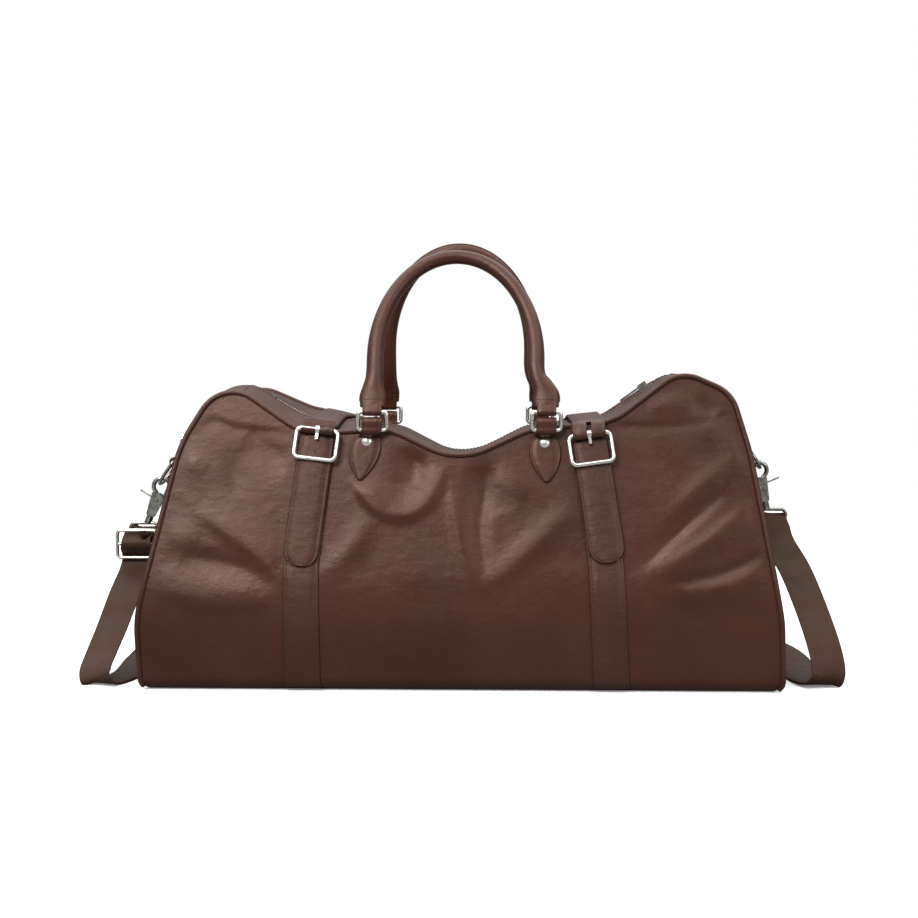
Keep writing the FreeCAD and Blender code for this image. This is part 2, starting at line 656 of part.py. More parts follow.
for side in ("left", "right"):
    ring_z = SIDE_RING_Z[side]
    reach = (-400, -200) if side == "left" else (200, 400)
    patch = layer(0, BELT, box(*reach, HARDWARE_Y - 12, HARDWARE_Y + 12, ring_z - 4, ring_z + 30))
    bar = put(rod(V(0, -20, 0), V(0, 20, 0), DRING_WIRE + 0.08), side)
    rivet_x = end_x(ring_z + 20) if side == "left" else right_end_x(ring_z + 20)
    outward = -1 if side == "left" else 1
    rivet = rod(V(rivet_x - outward * 1.5, HARDWARE_Y, ring_z + 20),
                V(rivet_x + outward * (BELT + 1.4), HARDWARE_Y, ring_z + 20), 4.0)
    rivet = rivet.cut(envelope(0))
    patch = patch.fuse(put(BAR_LOOP, side)).cut(envelope(0)).cut(bar).cut(rivet)
    save(side + "_ring_tab", patch)
    handle_rivets.append(rivet)
    save(side + "_side_ring", put(d_ring, side))
    save(side + "_hook", put(at_hook(hook, side), side))
    save(side + "_hook_gate", put(at_hook(gate, side), side))
    save(side + "_hook_eye", put(hook_eye(side), side))
save("tab_rivets", Part.Compound(handle_rivets))

# ------------------------------------------------------------------ shoulder strap
SHOULDER_WIDTH = 29.0
SHOULDER_THICK = 2.6
left_bar = LEFT_BAR + eye_bar("left")
right_bar = RIGHT_BAR + V(-eye_bar("right").x, 0, eye_bar("right").z)
FRAME_Y = left_bar.y - 8.2           # plane of the adjuster, in front of the hook's eye
ADJUSTER_X = left_bar.x - 5.0
ADJUSTER_TOP = left_bar.z + 1.5
ADJUSTER_HEIGHT = 25.0
ADJUSTER_WIDTH = 36.5
ADJUSTER_WIRE = 1.7
WEAVE = ADJUSTER_WIRE + SHOULDER_THICK / 2 + 0.8

frame_corners = [(x + ADJUSTER_X, z + ADJUSTER_TOP - ADJUSTER_HEIGHT / 2, r)
                 for x, z, r in rectangle(ADJUSTER_WIDTH, ADJUSTER_HEIGHT, 4.0)]
adjuster = wire_ring(frame_corners, in_xz(FRAME_Y), ADJUSTER_WIRE)
middle = ADJUSTER_TOP - ADJUSTER_HEIGHT / 2
adjuster = adjuster.fuse(rod(V(ADJUSTER_X - ADJUSTER_WIDTH / 2, FRAME_Y, middle),
                             V(ADJUSTER_X + ADJUSTER_WIDTH / 2, FRAME_Y, middle), ADJUSTER_WIRE - 0.3))
save("strap_adjuster", adjuster)


def curve_through(points, steps):
    """Points on a smooth curve through the given points, with steps of them to each span."""
    ends = [points[0] * 2 - points[1]] + points + [points[-1] * 2 - points[-2]]
    result = []
    for i in range(len(points) - 1):
        p0, p1, p2, p3 = ends[i:i + 4]
        for k in range(steps):
            t = k / steps
            result.append((p1 * 2 + (p2 - p0) * t + (p0 * 2 - p1 * 5 + p2 * 4 - p3) * t ** 2
                           + (p1 * 3 - p0 - p2 * 3 + p3) * t ** 3) * 0.5)
    return result + [points[-1]]


def ribbon(stations, steps):
    """A flat strap through stations: each a centre point and the direction of its width."""
    centres = curve_through([V(*centre) for centre, across in stations], steps)
    widths = curve_through([V(*across).normalize() for centre, across in stations], steps)
    wires = []
    for i, (centre, across) in enumerate(zip(centres, widths)):
        ahead = centres[min(i + 1, len(centres) - 1)] - centres[max(i - 1, 0)]
        across.normalize()
        normal = ahead.cross(across).normalize() * (SHOULDER_THICK / 2)
        side_step = across * (SHOULDER_WIDTH / 2)
        corners = [centre - side_step - normal, centre + side_step - normal,
                   centre + side_step + normal, centre - side_step + normal]
        wires.append(Part.makePolygon(corners + [corners[0]]))
    return Part.makeLoft(wires, True, True)


ALONG_X = (1, 0, 0)
BACK_X = (-1, 0, 0)
FLOOR = SHOULDER_THICK / 2 + 0.05
ax = ADJUSTER_X
STATIONS = [
    ((ax, FRAME_Y + WEAVE, ADJUSTER_TOP), ALONG_X),
    ((ax, FRAME_Y + WEAVE, ADJUSTER_TOP - 3), ALONG_X),
    ((ax, FRAME_Y - WEAVE, middle + 3), ALONG_X),
    ((ax, FRAME_Y - WEAVE, middle - 3), ALONG_X),
    ((ax, FRAME_Y + WEAVE, ADJUSTER_TOP - ADJUSTER_HEIGHT + 1), ALONG_X),
    ((ax - 1, FRAME_Y + WEAVE - 5, ADJUSTER_TOP - ADJUSTER_HEIGHT - 9), ALONG_X),
    ((ax - 4, -32, 70), (1, -0.03, 0.05)),
    ((ax - 9, -58, 44), (1, -0.08, 0.08)),
    ((ax - 13, -82, 24), (1, -0.15, 0.1)),
    ((ax - 14, -98, 13), (1, -0.25, 0.1)),
    ((ax - 11, -103, 5.5), (1, -0.3, 0.05)),
    ((ax - 6, -96, FLOOR + 0.5), (1, -0.4, 0)),
    ((ax + 1, -78, FLOOR), (1, -0.35, 0)),
    ((-296, -50, FLOOR), (1, 0, 0)),
    ((-301, 10, FLOOR), (1, 0.08, 0)),
    ((-302, 90, FLOOR), (1, -0.1, 0)),
    ((-280, 148, FLOOR), (0.9, -0.6, 0)),
    ((-225, 174, FLOOR), (0.15, -1, 0)),
    ((-120, 168, FLOOR), (-0.08, -1, 0)),
    ((0, 158, FLOOR), (0, -1, 0)),
    ((120, 166, FLOOR), (0.08, -1, 0)),
    ((222, 172, FLOOR), (-0.15, -1, 0)),
    ((276, 146, FLOOR), (-0.9, -0.6, 0)),
    ((300, 90, FLOOR), (-1, -0.1, 0)),
    ((306, 20, FLOOR), BACK_X),
    ((297, -45, FLOOR), (-1, 0.1, 0)),
    ((299, -76, FLOOR + 0.6), (-1, -0.1, 0)),
    ((306, -96, FLOOR + 3), (-1, -0.2, 0.05)),
    ((311, -98, 14), (-1, -0.1, 0.1)),
    ((310, -84, 33), (-1, 0, 0.1)),
    ((304, -58, 62), (-1, 0, 0.08)),
    ((295, -32, 92), (-1, 0, 0.05)),
    ((right_bar.x + 3, -12, right_bar.z - 20), BACK_X),
    ((right_bar.x, right_bar.y - 3.2, right_bar.z), BACK_X),
]
shoulder = ribbon(STATIONS, 3)
half = SHOULDER_WIDTH / 2 - 3.2
for bar in (left_bar, right_bar):
    wrap = rod(bar - V(half, 0, 0), bar + V(half, 0, 0), EYE_WIRE + 0.15 + SHOULDER_THICK)
    shoulder = shoulder.fuse(wrap)
for bar in (left_bar, right_bar):
    shoulder = shoulder.cut(rod(bar - V(half + 8, 0, 0), bar + V(half + 8, 0, 0), EYE_WIRE + 0.15))
save("shoulder_strap", shoulder)
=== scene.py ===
import json
import math

import bpy
import numpy as np
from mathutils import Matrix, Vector


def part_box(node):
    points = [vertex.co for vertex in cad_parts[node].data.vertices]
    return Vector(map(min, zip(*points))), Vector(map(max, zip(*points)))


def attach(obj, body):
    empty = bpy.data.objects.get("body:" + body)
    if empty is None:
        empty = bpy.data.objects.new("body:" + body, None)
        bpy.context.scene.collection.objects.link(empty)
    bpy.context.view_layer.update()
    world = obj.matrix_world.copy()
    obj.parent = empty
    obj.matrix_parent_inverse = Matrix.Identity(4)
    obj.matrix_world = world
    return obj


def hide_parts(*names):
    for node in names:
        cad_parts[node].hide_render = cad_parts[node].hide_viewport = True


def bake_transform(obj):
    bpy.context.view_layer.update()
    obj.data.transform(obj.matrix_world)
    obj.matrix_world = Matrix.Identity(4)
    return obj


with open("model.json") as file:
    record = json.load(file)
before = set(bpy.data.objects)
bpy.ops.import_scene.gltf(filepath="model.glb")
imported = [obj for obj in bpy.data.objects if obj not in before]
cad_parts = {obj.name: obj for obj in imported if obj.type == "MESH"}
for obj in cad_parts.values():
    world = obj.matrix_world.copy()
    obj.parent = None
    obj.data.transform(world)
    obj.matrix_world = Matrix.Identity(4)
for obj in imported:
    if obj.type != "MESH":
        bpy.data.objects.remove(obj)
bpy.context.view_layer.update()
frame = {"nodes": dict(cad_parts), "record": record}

# Lengths in this script are millimetres in the frame's own axes; add_mesh turns them into metres.
METRES = 0.001
# Which way the front and the back face along y.
SIGN = {"front": -1, "rear": 1}

# --- driving dimensions
# Outline of the front, anticlockwise: x, z and the radius of each corner.
OUTLINE = [
    (-270, 0, 10), (269, 0, 10), (267, 60, 120), (244, 200, 160), (230, 250, 30),
    (187, 269, 30), (128, 225, 55), (58, 219, 60), (-3, 191, 60), (-62, 219, 50),
    (-136, 215, 50), (-207, 263, 30), (-241, 206, 110), (-273, 60, 120),
]
# Corners of the rear panel that differ, by their number in OUTLINE.
REAR_CORNERS = {
    5: (187, 263), 6: (128, 222), 7: (58, 214), 8: (0, 181), 9: (-60, 213), 10: (-150, 233), 11: (-207, 258),
}
END_BULGE = {"left": 16.0, "right": 6.0}
BULGE_FROM_X = 235.0
BULGE_HEIGHT = 200.0
TOP_CROWN = 4.0
CROWN_HALF_DEPTH = 80.0
BASE_HALF_DEPTH = 120.0
BASE_SEAM_Y = 104.0
KNEE_HALF_DEPTH = 123.0
KNEE_HEIGHT = 78.0
FACE_SLOPE = 48.0 / 177.0
FACE_TOP_HEIGHT = 300.0
SEAM_LEFT_X = -190.0
SEAM_RIGHT_X = 184.0
ZIP_LEFT_X = -176.0
ZIP_RIGHT_X = 176.0
ZIP_SLOT_HALF = 5.4
LINING_DEPTH = 3.2
PIPING_RADIUS = 2.35
PIPING_FOOT_Z = 3.0

STRAP_WIDTH = 30.0
STRAP = 2.2
STRAP_GAP = 2.8
BELT_FOOT_Z = 3.0
BELT_MID_Z = 105.0
BELT_TOP_Z = 190.0
HINGE_Y = 84.8
BUCKLE_WIRE = 1.9
BUCKLE_HEIGHT = 25.4
BUCKLE_LIFT = STRAP_GAP + STRAP + 0.3 + BUCKLE_WIRE
TONGUE_TOP = 8.2
# Buckle centre x and z, lean, x of the strap on top, reach of the tongue's tip, belt x at three heights.
STRAPS = {
    "left": (-124.0, 205.0, -6.5, -114.0, 104.5, (-133.0, -134.5, -125.7)),
    "right": (109.5, 201.5, 8.0, 107.0, 97.5, (126.0, 121.3, 112.0)),
}
# Handle tabs: x and z of the widest place, and lean.
TABS = {"left": (-83.4, 196.0, -9.0), "right": (71.0, 194.5, 2.5)}
TAB = 2.2
RING_X = {"left": -76.2, "right": 71.8}
RING_Y = 92.2
RING_Z = 218.6
RING_WIRE = 1.8
RING_HEIGHT = 15.4
HANDLE_X = -6.0
HANDLE_HALF_SPAN = 69.0
HANDLE_RISE = 96.0
HANDLE_ARCH_Z = 289.0
HANDLE_TUBE = 6.7
HANDLE_LOOP_HALF = 8.2
# The sewn place on the flat end of a handle: half width, half depth and height above the ring.
HANDLE_SEAM = (10.8, 3.9, 10.5)
HANDLE_LEAN = {"front": 26.0, "rear": 8.0}

ARC_STEPS = 12
LINE_STEPS = 14
PER_CORNER = ARC_STEPS + LINE_STEPS


# --- camera
def add_camera():
    camera = bpy.data.objects.new("camera", bpy.data.cameras.new("camera"))
    bpy.context.collection.objects.link(camera)
    camera.location = (0.030, -1.320, 0.270)
    target = Vector((-0.0048, 0, 0.1885))
    camera.rotation_euler = (target - camera.location).to_track_quat("-Z", "Y").to_euler()
    camera.data.lens = 56.8
    camera.data.sensor_width = 36
    bpy.context.scene.camera = camera


add_camera()


# --- mesh tools
def add_mesh(name, vertices, faces, material, body=None):
    """Make a smooth mesh object from points in millimetres, and let it ride on a body."""
    mesh = bpy.data.meshes.new(name)
    points = np.asarray(vertices, float) * METRES
    mesh.from_pydata([tuple(p) for p in points.tolist()], [], [tuple(f) for f in faces])
    mesh.polygons.foreach_set("use_smooth", [True] * len(mesh.polygons))
    mesh.update()
    piece = bpy.data.objects.new(name, mesh)
    bpy.context.collection.objects.link(piece)
    piece.data.materials.append(material)
    if body:
        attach(piece, body)
    return piece


def grid_faces(rows, columns, offset=0, close_rows=False, close_columns=False, flip=False):
    faces = []
    for i in range(rows if close_rows else rows - 1):
        for j in range(columns if close_columns else columns - 1):
            a = offset + i * columns + j
            b = offset + i * columns + (j + 1) % columns
            c = offset + ((i + 1) % rows) * columns + (j + 1) % columns
            d = offset + ((i + 1) % rows) * columns + j
            faces.append((a, d, c, b) if flip else (a, b, c, d))
    return faces


def add_grid(name, grid, material, flip=False):
    """A sheet of the bag's body from a grid of points."""
    return add_mesh(name, grid.reshape(-1, 3), grid_faces(*grid.shape[:2], flip=flip), material, "bag")


def normalised(vectors):
    size = np.linalg.norm(vectors, axis=-1, keepdims=True)
    return vectors / np.maximum(size, 1e-9)


def grid_normals(grid):
    down = np.gradient(grid, axis=0)
    across = np.gradient(grid, axis=1)
    return normalised(np.cross(across, down))


def lengths(points):
    steps = np.linalg.norm(np.diff(points, axis=0), axis=1)
    return np.concatenate([[0.0], np.cumsum(steps)])


def at_places(places, along, points):
    """Points of a polyline at distances along it, of any number of columns."""
    return np.stack([np.interp(places, along, points[:, k]) for k in range(points.shape[1])], axis=1)


def resample(points, count):
    """Evenly spaced points along a polyline."""
    points = np.asarray(points, float)
    along = lengths(points)
    return at_places(np.linspace(0, along[-1], count), along, points)


def spline(points, steps):
    """A Catmull-Rom curve through points, with steps samples in each span."""
    points = np.asarray(points, float)
    padded = np.vstack([2 * points[0] - points[1], points, 2 * points[-1] - points[-2]])
    t = np.linspace(0, 1, steps, endpoint=False)[:, None]
    spans = []
    for i in range(len(points) - 1):
        p0, p1, p2, p3 = padded[i:i + 4]
        spans.append(0.5 * (2 * p1 + (p2 - p0) * t + (2 * p0 - 5 * p1 + 4 * p2 - p3) * t ** 2
                            + (3 * p1 - p0 - 3 * p2 + p3) * t ** 3))
    return np.vstack(spans + [points[-1:]])


def smooth_step(value):
    value = np.clip(value, 0, 1)
    return value * value * (3 - 2 * value)


# A strap's cross-section: share of the half width, and share of the thickness there. The edges
# are rounded over and the leather dips where it is stitched.
SECTION = [(-1.0, 0.45), (-0.975, 0.78), (-0.93, 0.96), (-0.86, 1.0), (-0.82, 0.80), (-0.78, 1.0),
           (-0.45, 1.06), (-0.15, 1.08), (0.15, 1.08), (0.45, 1.06), (0.78, 1.0), (0.82, 0.80),
           (0.86, 1.0), (0.93, 0.96), (0.975, 0.78), (1.0, 0.45)]


def strap_solid(name, under, thickness, material, body=None, gap=None):
    """A strap from its underside grid, one column for each place in SECTION.

    It is closed, except for a slit along its middle over the rows of gap. Also gives its upper grid
    and the grid's normals.
    """
    rows, columns = under.shape[:2]
    normals = grid_normals(under)
    shares = np.array([share for _, share in SECTION])[None, :, None]
    ends = np.ones((rows, 1, 1))
    ends[0] = ends[-1] = 0.55
    over = under + normals * thickness * shares * ends
    vertices = np.vstack([under.reshape(-1, 3), over.reshape(-1, 3)])
    count = rows * columns
    lower = grid_faces(rows, columns)
    upper = grid_faces(rows, columns, count, flip=True)
    if gap:
        solid = [not (gap[0] <= face[0] // columns < gap[1] and face[0] % columns == columns // 2 - 1)
                 for face in lower]
        lower = [face for face, kept in zip(lower, solid) if kept]
        upper = [face for face, kept in zip(upper, solid) if kept]
    walls = []
    for i in range(rows - 1):
        a, b = i * columns, (i + 1) * columns
        walls.append((a, b, b + count, a + count))
        a, b = a + columns - 1, b + columns - 1
        walls.append((b, a, a + count, b + count))
    for j in range(columns - 1):
        walls.append((j + 1, j, j + count, j + 1 + count))
        a = (rows - 1) * columns + j
        walls.append((a, a + 1, a + 1 + count, a + count))
    piece = add_mesh(name, vertices, lower + upper + walls, material, body)
    return piece, over, normals


def stitch_line(points, normals, pitch=3.3, length=2.5, radius=0.42):
    """Vertices and faces of thread stitches laid end to end along a line."""
    along = lengths(points)
    if along[-1] < pitch:
        return np.zeros((0, 3)), []
    places = np.arange(pitch / 2, along[-1], pitch)
    centre = at_places(places, along, points)
    up = normalised(at_places(places, along, normals))
    tangent = normalised(at_places(places + 0.5, along, points) - at_places(places - 0.5, along, points))
    side = np.cross(tangent, up)
    rings = [(-0.5, 0.35, -0.35), (-0.3, 0.95, 0.0), (0.0, 1.0, 0.12), (0.3, 0.95, 0.0), (0.5, 0.35, -0.35)]
    vertices = []
    for share, size, lift in rings:
        for k in range(6):
            angle = math.pi * k / 3
            vertices.append(centre + tangent * (share * length)
                            + side * (math.cos(angle) * radius * size)
                            + up * (math.sin(angle) * radius * size * 0.8 + lift * radius + 0.05))
    stacked = np.stack(vertices, axis=1)
    ring_faces = grid_faces(len(rings), 6, close_columns=True)
    faces = []
    for i in range(len(places)):
        base = i * stacked.shape[1]
        faces.extend(tuple(base + v for v in face) for face in ring_faces)
    return stacked.reshape(-1, 3), faces


def add_stitches(name, lines, material, body=None, **sizes):
    """One mesh of all the stitches along several lines, each a pair of points and normals."""
    vertices, faces = [], []
    total = 0
    for points, normals in lines:
        v, f = stitch_line(points, normals, **sizes)
        faces.extend(tuple(total + k for k in face) for face in f)
        vertices.append(v)
        total += len(v)
    return add_mesh(name, np.vstack(vertices), faces, material, body)


def tube(name, points, across, widths, depths, material, body=None, sides=20):
    """A closed tube of elliptical section along points; across is the direction of its width."""
    tangent = normalised(np.gradient(points, axis=0))
    side = normalised(across - tangent * np.sum(across * tangent, axis=1, keepdims=True))
    other = np.cross(tangent, side)
    angle = np.linspace(0, 2 * math.pi, sides, endpoint=False)
    ring = (side[:, None, :] * (np.cos(angle)[None, :, None] * np.asarray(widths)[:, None, None])
            + other[:, None, :] * (np.sin(angle)[None, :, None] * np.asarray(depths)[:, None, None]))
    grid = points[:, None, :] + ring
    rows = len(points)
    vertices = np.vstack([grid.reshape(-1, 3), points[:1], points[-1:]])
    faces = grid_faces(rows, sides, close_columns=True)
    for k in range(sides):
        faces.append((rows * sides, (k + 1) % sides, k))
        faces.append((rows * sides + 1, (rows - 1) * sides + k, (rows - 1) * sides + (k + 1) % sides))
    return add_mesh(name, vertices, faces, material, body)


# --- materials
class Nodes:
    """Short names for building a node material."""

    def __init__(self, name):
        self.material = bpy.data.materials.new(name)
        self.material.use_nodes = True
        self.tree = self.material.node_tree
        self.shader = self.tree.nodes["Principled BSDF"]
        self.place = self.tree.nodes.new("ShaderNodeTexCoord").outputs["Object"]

    def link(self, source, target):
        self.tree.links.new(source, target)

    def noise(self, scale, detail=3.0, stretch=None):
        node = self.tree.nodes.new("ShaderNodeTexNoise")
        node.inputs["Scale"].default_value = scale
        node.inputs["Detail"].default_value = detail
        self.link(self.stretched(stretch), node.inputs["Vector"])
        return node.outputs["Fac"]

    def stretched(self, stretch):
        if stretch is None:
            return self.place
        node = self.tree.nodes.new("ShaderNodeMapping")
        node.inputs["Scale"].default_value = stretch
        self.link(self.place, node.inputs["Vector"])
        return node.outputs["Vector"]

    def cells(self, scale):
        node = self.tree.nodes.new("ShaderNodeTexVoronoi")
        node.feature = "DISTANCE_TO_EDGE"
        node.inputs["Scale"].default_value = scale
        self.link(self.place, node.inputs["Vector"])
        return node.outputs["Distance"]

    def waves(self, scale, direction="X"):
        node = self.tree.nodes.new("ShaderNodeTexWave")
        node.bands_direction = direction
        node.inputs["Scale"].default_value = scale
        self.link(self.place, node.inputs["Vector"])
        return node.outputs["Fac"]

    def spread(self, value, low, high, low_to=0.0, high_to=1.0):
        node = self.tree.nodes.new("ShaderNodeMapRange")
        node.inputs["From Min"].default_value = low
        node.inputs["From Max"].default_value = high
        node.inputs["To Min"].default_value = low_to
        node.inputs["To Max"].default_value = high_to
        self.link(value, node.inputs["Value"])
        return node.outputs["Result"]

    def mix(self, share, dark, light):
        node = self.tree.nodes.new("ShaderNodeMix")
        node.data_type = "RGBA"
        for value, socket in ((share, node.inputs[0]), (dark, node.inputs[6]), (light, node.inputs[7])):
            if isinstance(value, tuple):
                socket.default_value = (*value, 1)
            else:
                self.link(value, socket)
        return node.outputs[2]

    def bump(self, height, distance, strength=1.0, over=None):
        node = self.tree.nodes.new("ShaderNodeBump")
        node.inputs["Distance"].default_value = distance
        node.inputs["Strength"].default_value = strength
        self.link(height, node.inputs["Height"])
        if over is not None:
            self.link(over, node.inputs["Normal"])
        return node.outputs["Normal"]

    def set(self, **sockets):
        for name, value in sockets.items():
            self.shader.inputs[name.replace("_", " ")].default_value = value


def leather(name, dark, light, roughness=0.37, grain=1.0, gloss=0.42):
    """Smooth dyed leather: cloudy colour, fine pebbled grain and soft creases."""
    m = Nodes(name)
    cloud = m.spread(m.noise(11, 4), 0.35, 0.68)
    speckle = m.spread(m.noise(420, 3), 0.3, 0.75)
    colour = m.mix(cloud, dark, light)
    darker = tuple(c * 0.72 for c in dark)
    colour = m.mix(m.spread(speckle, 0, 1, 0.30, 0.0), colour, darker)
    m.link(colour, m.shader.inputs["Base Color"])
    m.link(m.spread(m.noise(55, 4), 0.3, 0.7, roughness - 0.05, roughness + 0.07),
           m.shader.inputs["Roughness"])
    grained = m.bump(m.spread(m.cells(760), 0.0, 0.25), 0.00006 * grain, 0.7)
    creased = m.bump(m.noise(95, 5, (1.0, 1.0, 1.6)), 0.0007 * grain, 0.6, grained)
    m.link(creased, m.shader.inputs["Normal"])
    m.set(Specular_IOR_Level=gloss, Specular_Tint=(1.0, 0.72, 0.60, 1.0))
    return m.material


def thread(name, colour):
    m = Nodes(name)
    twist_height_and_shade = m.waves(900, "DIAGONAL")
    # The colour follows the twist's bump height, so the thread is darker in its grooves: painted shade.
    m.link(m.mix(twist_height_and_shade, tuple(c * 0.6 for c in colour), colour), m.shader.inputs["Base Color"])
    m.link(m.bump(twist_height_and_shade, 0.0001, 0.6), m.shader.inputs["Normal"])
    m.set(Roughness=0.55, Specular_IOR_Level=0.4)
    return m.material


def metal(name, dark, light, roughness=0.26):
    """Plated metal with fine brush marks and slightly worn, uneven tone."""
    m = Nodes(name)
    worn = m.spread(m.noise(240, 4), 0.35, 0.7)
    m.link(m.mix(worn, dark, light), m.shader.inputs["Base Color"])
    m.link(m.spread(m.noise(600, 3), 0.3, 0.7, roughness - 0.06, roughness + 0.10),
           m.shader.inputs["Roughness"])
    m.link(m.bump(m.noise(500, 2, (1, 6, 6)), 0.00003, 0.5), m.shader.inputs["Normal"])
    m.set(Metallic=1.0)
    return m.material


def woven(name, dark, light, scale=420, roughness=0.8):
    m = Nodes(name)
    warp = m.waves(scale, "X")
    weft = m.waves(scale, "Z")
    crossing = m.mix(warp, (0, 0, 0), (1, 1, 1))
    cloth = m.mix(weft, crossing, (0.5, 0.5, 0.5))
    # The colour follows the weave's bump height: darker in its hollows and lighter on its raised threads, as
    # painted shade and painted highlight over the weave.
    m.link(m.mix(m.spread(cloth, 0, 1), dark, light), m.shader.inputs["Base Color"])
    m.link(m.bump(cloth, 0.0002, 0.7), m.shader.inputs["Normal"])
    m.set(Roughness=roughness, Sheen_Weight=0.3, Sheen_Roughness=0.5)
    return m.material


def plastic(name, dark, light):
    m = Nodes(name)
    m.link(m.mix(m.noise(300, 3), dark, light), m.shader.inputs["Base Color"])
    m.link(m.bump(m.noise(700, 2), 0.0001, 0.5), m.shader.inputs["Normal"])
    m.set(Roughness=0.6)
    return m.material


BODY_LEATHER = leather("body_leather", (0.034, 0.0100, 0.0062), (0.050, 0.0160, 0.0105))
STRAP_LEATHER = leather("strap_leather", (0.032, 0.0104, 0.0070), (0.048, 0.0172, 0.0118), 0.40, 1.3)
PIPING_LEATHER = leather("piping_leather", (0.030, 0.0092, 0.0065), (0.047, 0.0155, 0.0105), 0.38)
SHOULDER_LEATHER = leather("shoulder_leather", (0.026, 0.0104, 0.0058), (0.045, 0.0205, 0.0120),
                           0.55, 1.5, 0.28)
# The thread material also colours the dark discs for the tongue's punched holes, as painted shade.
THREAD_AND_HOLE_SHADE = thread("thread", (0.030, 0.013, 0.010))
NICKEL = metal("nickel", (0.64, 0.625, 0.585), (0.77, 0.755, 0.71), 0.26)
ANTIQUE = metal("antique_nickel", (0.16, 0.155, 0.14), (0.46, 0.45, 0.41), 0.28)
ZIP_METAL = metal("zip_metal", (0.22, 0.21, 0.19), (0.46, 0.44, 0.40), 0.30)
TAPE = woven("zip_tape", (0.010, 0.008, 0.007), (0.040, 0.033, 0.030), 700)
LINING_CLOTH = woven("lining_cloth", (0.10, 0.075, 0.055), (0.22, 0.17, 0.125))
ROPE = woven("rope", (0.34, 0.30, 0.24), (0.60, 0.55, 0.46), 500)
BOARD = plastic("stiffener", (0.030, 0.028, 0.026), (0.055, 0.052, 0.050))


# --- outlines and profile
def turned(spoke, angles):
    c, s = np.cos(angles), np.sin(angles)
    return np.stack([c * spoke[0] - s * spoke[1], s * spoke[0] + c * spoke[1]], axis=1)


def rounded_outline(corners):
    """Points of a rounded outline. Outlines with as many corners match point for point."""
    arcs = []
    for i, (x, z, radius) in enumerate(corners):
        corner = np.array((x, z), float)
        before = normalised(corner - np.array(corners[i - 1][:2]))
        after = normalised(np.array(corners[(i + 1) % len(corners)][:2]) - corner)
        turn = math.acos(float(np.clip(before @ after, -1, 1)))
        start = corner - before * radius * math.tan(turn / 2)
        side = 1.0 if before[0] * after[1] - before[1] * after[0] > 0 else -1.0
        centre = start + side * radius * np.array((-before[1], before[0]))
        arcs.append(centre + turned(start - centre, np.linspace(0, side * turn, ARC_STEPS + 1)))
    points = []
    for i, arc in enumerate(arcs):
        following = arcs[(i + 1) % len(arcs)][0]
        shares = np.linspace(0, 1, LINE_STEPS + 1)[1:-1, None]
        points.extend([arc, arc[-1] + (following - arc[-1]) * shares])
    return np.vstack(points)


def at_centre(front, rear):
    x, z = (front[0] + rear[0]) / 2, (front[1] + rear[1]) / 2
    if z == 0:
        return front
    if abs(x) > BULGE_FROM_X:
        bulge = END_BULGE["left" if x < 0 else "right"] * math.sin(math.pi / 2 * min(z / BULGE_HEIGHT, 1))
        return (x + math.copysign(bulge, x), z, front[2])
    return (x, z + TOP_CROWN, front[2])


REAR_OUTLINE = [REAR_CORNERS.get(i, corner[:2]) + corner[2:] for i, corner in enumerate(OUTLINE)]
CENTRE_OUTLINE = [at_centre(front, rear) for front, rear in zip(OUTLINE, REAR_OUTLINE)]


def rim_run(corners):
    """The outline from its lower right corner, over the top, to its lower left corner."""
    points = np.roll(rounded_outline(corners), -PER_CORNER, axis=0)
    return points[:(len(OUTLINE) - 1) * PER_CORNER + ARC_STEPS + 1]


RUNS = {"front": rim_run(OUTLINE), "centre": rim_run(CENTRE_OUTLINE), "rear": rim_run(REAR_OUTLINE)}
# Indices along a run where its top begins at the right hump and ends at the left one.
RIGHT_PEAK = 3 * PER_CORNER + ARC_STEPS + LINE_STEPS // 2
LEFT_PEAK = 10 * PER_CORNER + ARC_STEPS // 2

PROFILE = [
    (-BASE_HALF_DEPTH, 0, 12), (BASE_HALF_DEPTH, 0, 12), (KNEE_HALF_DEPTH, KNEE_HEIGHT, 150),
    (KNEE_HALF_DEPTH - FACE_SLOPE * (FACE_TOP_HEIGHT - KNEE_HEIGHT), FACE_TOP_HEIGHT, 0),
    (FACE_SLOPE * (FACE_TOP_HEIGHT - KNEE_HEIGHT) - KNEE_HALF_DEPTH, FACE_TOP_HEIGHT, 0),
    (-KNEE_HALF_DEPTH, KNEE_HEIGHT, 150),
]
PROFILE_RUN = np.vstack([[(BASE_SEAM_Y, 0)], rounded_outline(PROFILE)[PER_CORNER:3 * PER_CORNER + 1]])
PROFILE_LENGTH = lengths(PROFILE_RUN)


def climb(z):
    """Distance up the face from the base seam at a height."""
    return np.interp(z, PROFILE_RUN[1:, 1], PROFILE_LENGTH[1:])


def profile_at(up):
    """Depth and height of the face, and its outward normal in depth and height."""
    def measure(place):
        return np.stack([np.interp(place, PROFILE_LENGTH, PROFILE_RUN[:, k]) for k in (0, 1)])

    depth, height = measure(up)
    d_depth, d_height = measure(up + 2) - measure(up - 2)
    size = np.hypot(d_depth, d_height)
    return depth, height, d_height / size, -d_depth / size


def face_depth(z):
    return np.interp(z, PROFILE_RUN[1:, 1], PROFILE_RUN[1:, 0])


def top_height(x, y):
    """Height of the top of the bag at a place between the two pipings."""
    heights = {}
    for name, run in RUNS.items():
        top = run[RIGHT_PEAK:LEFT_PEAK + 1][::-1]
        heights[name] = np.interp(x, top[:, 0], top[:, 1])
    share = np.cos(np.clip(np.abs(y) / CROWN_HALF_DEPTH, 0, 1) * math.pi / 2) ** 2
    edge = np.where(y < 0, heights["front"], heights["rear"])
    return edge + (heights["centre"] - edge) * share


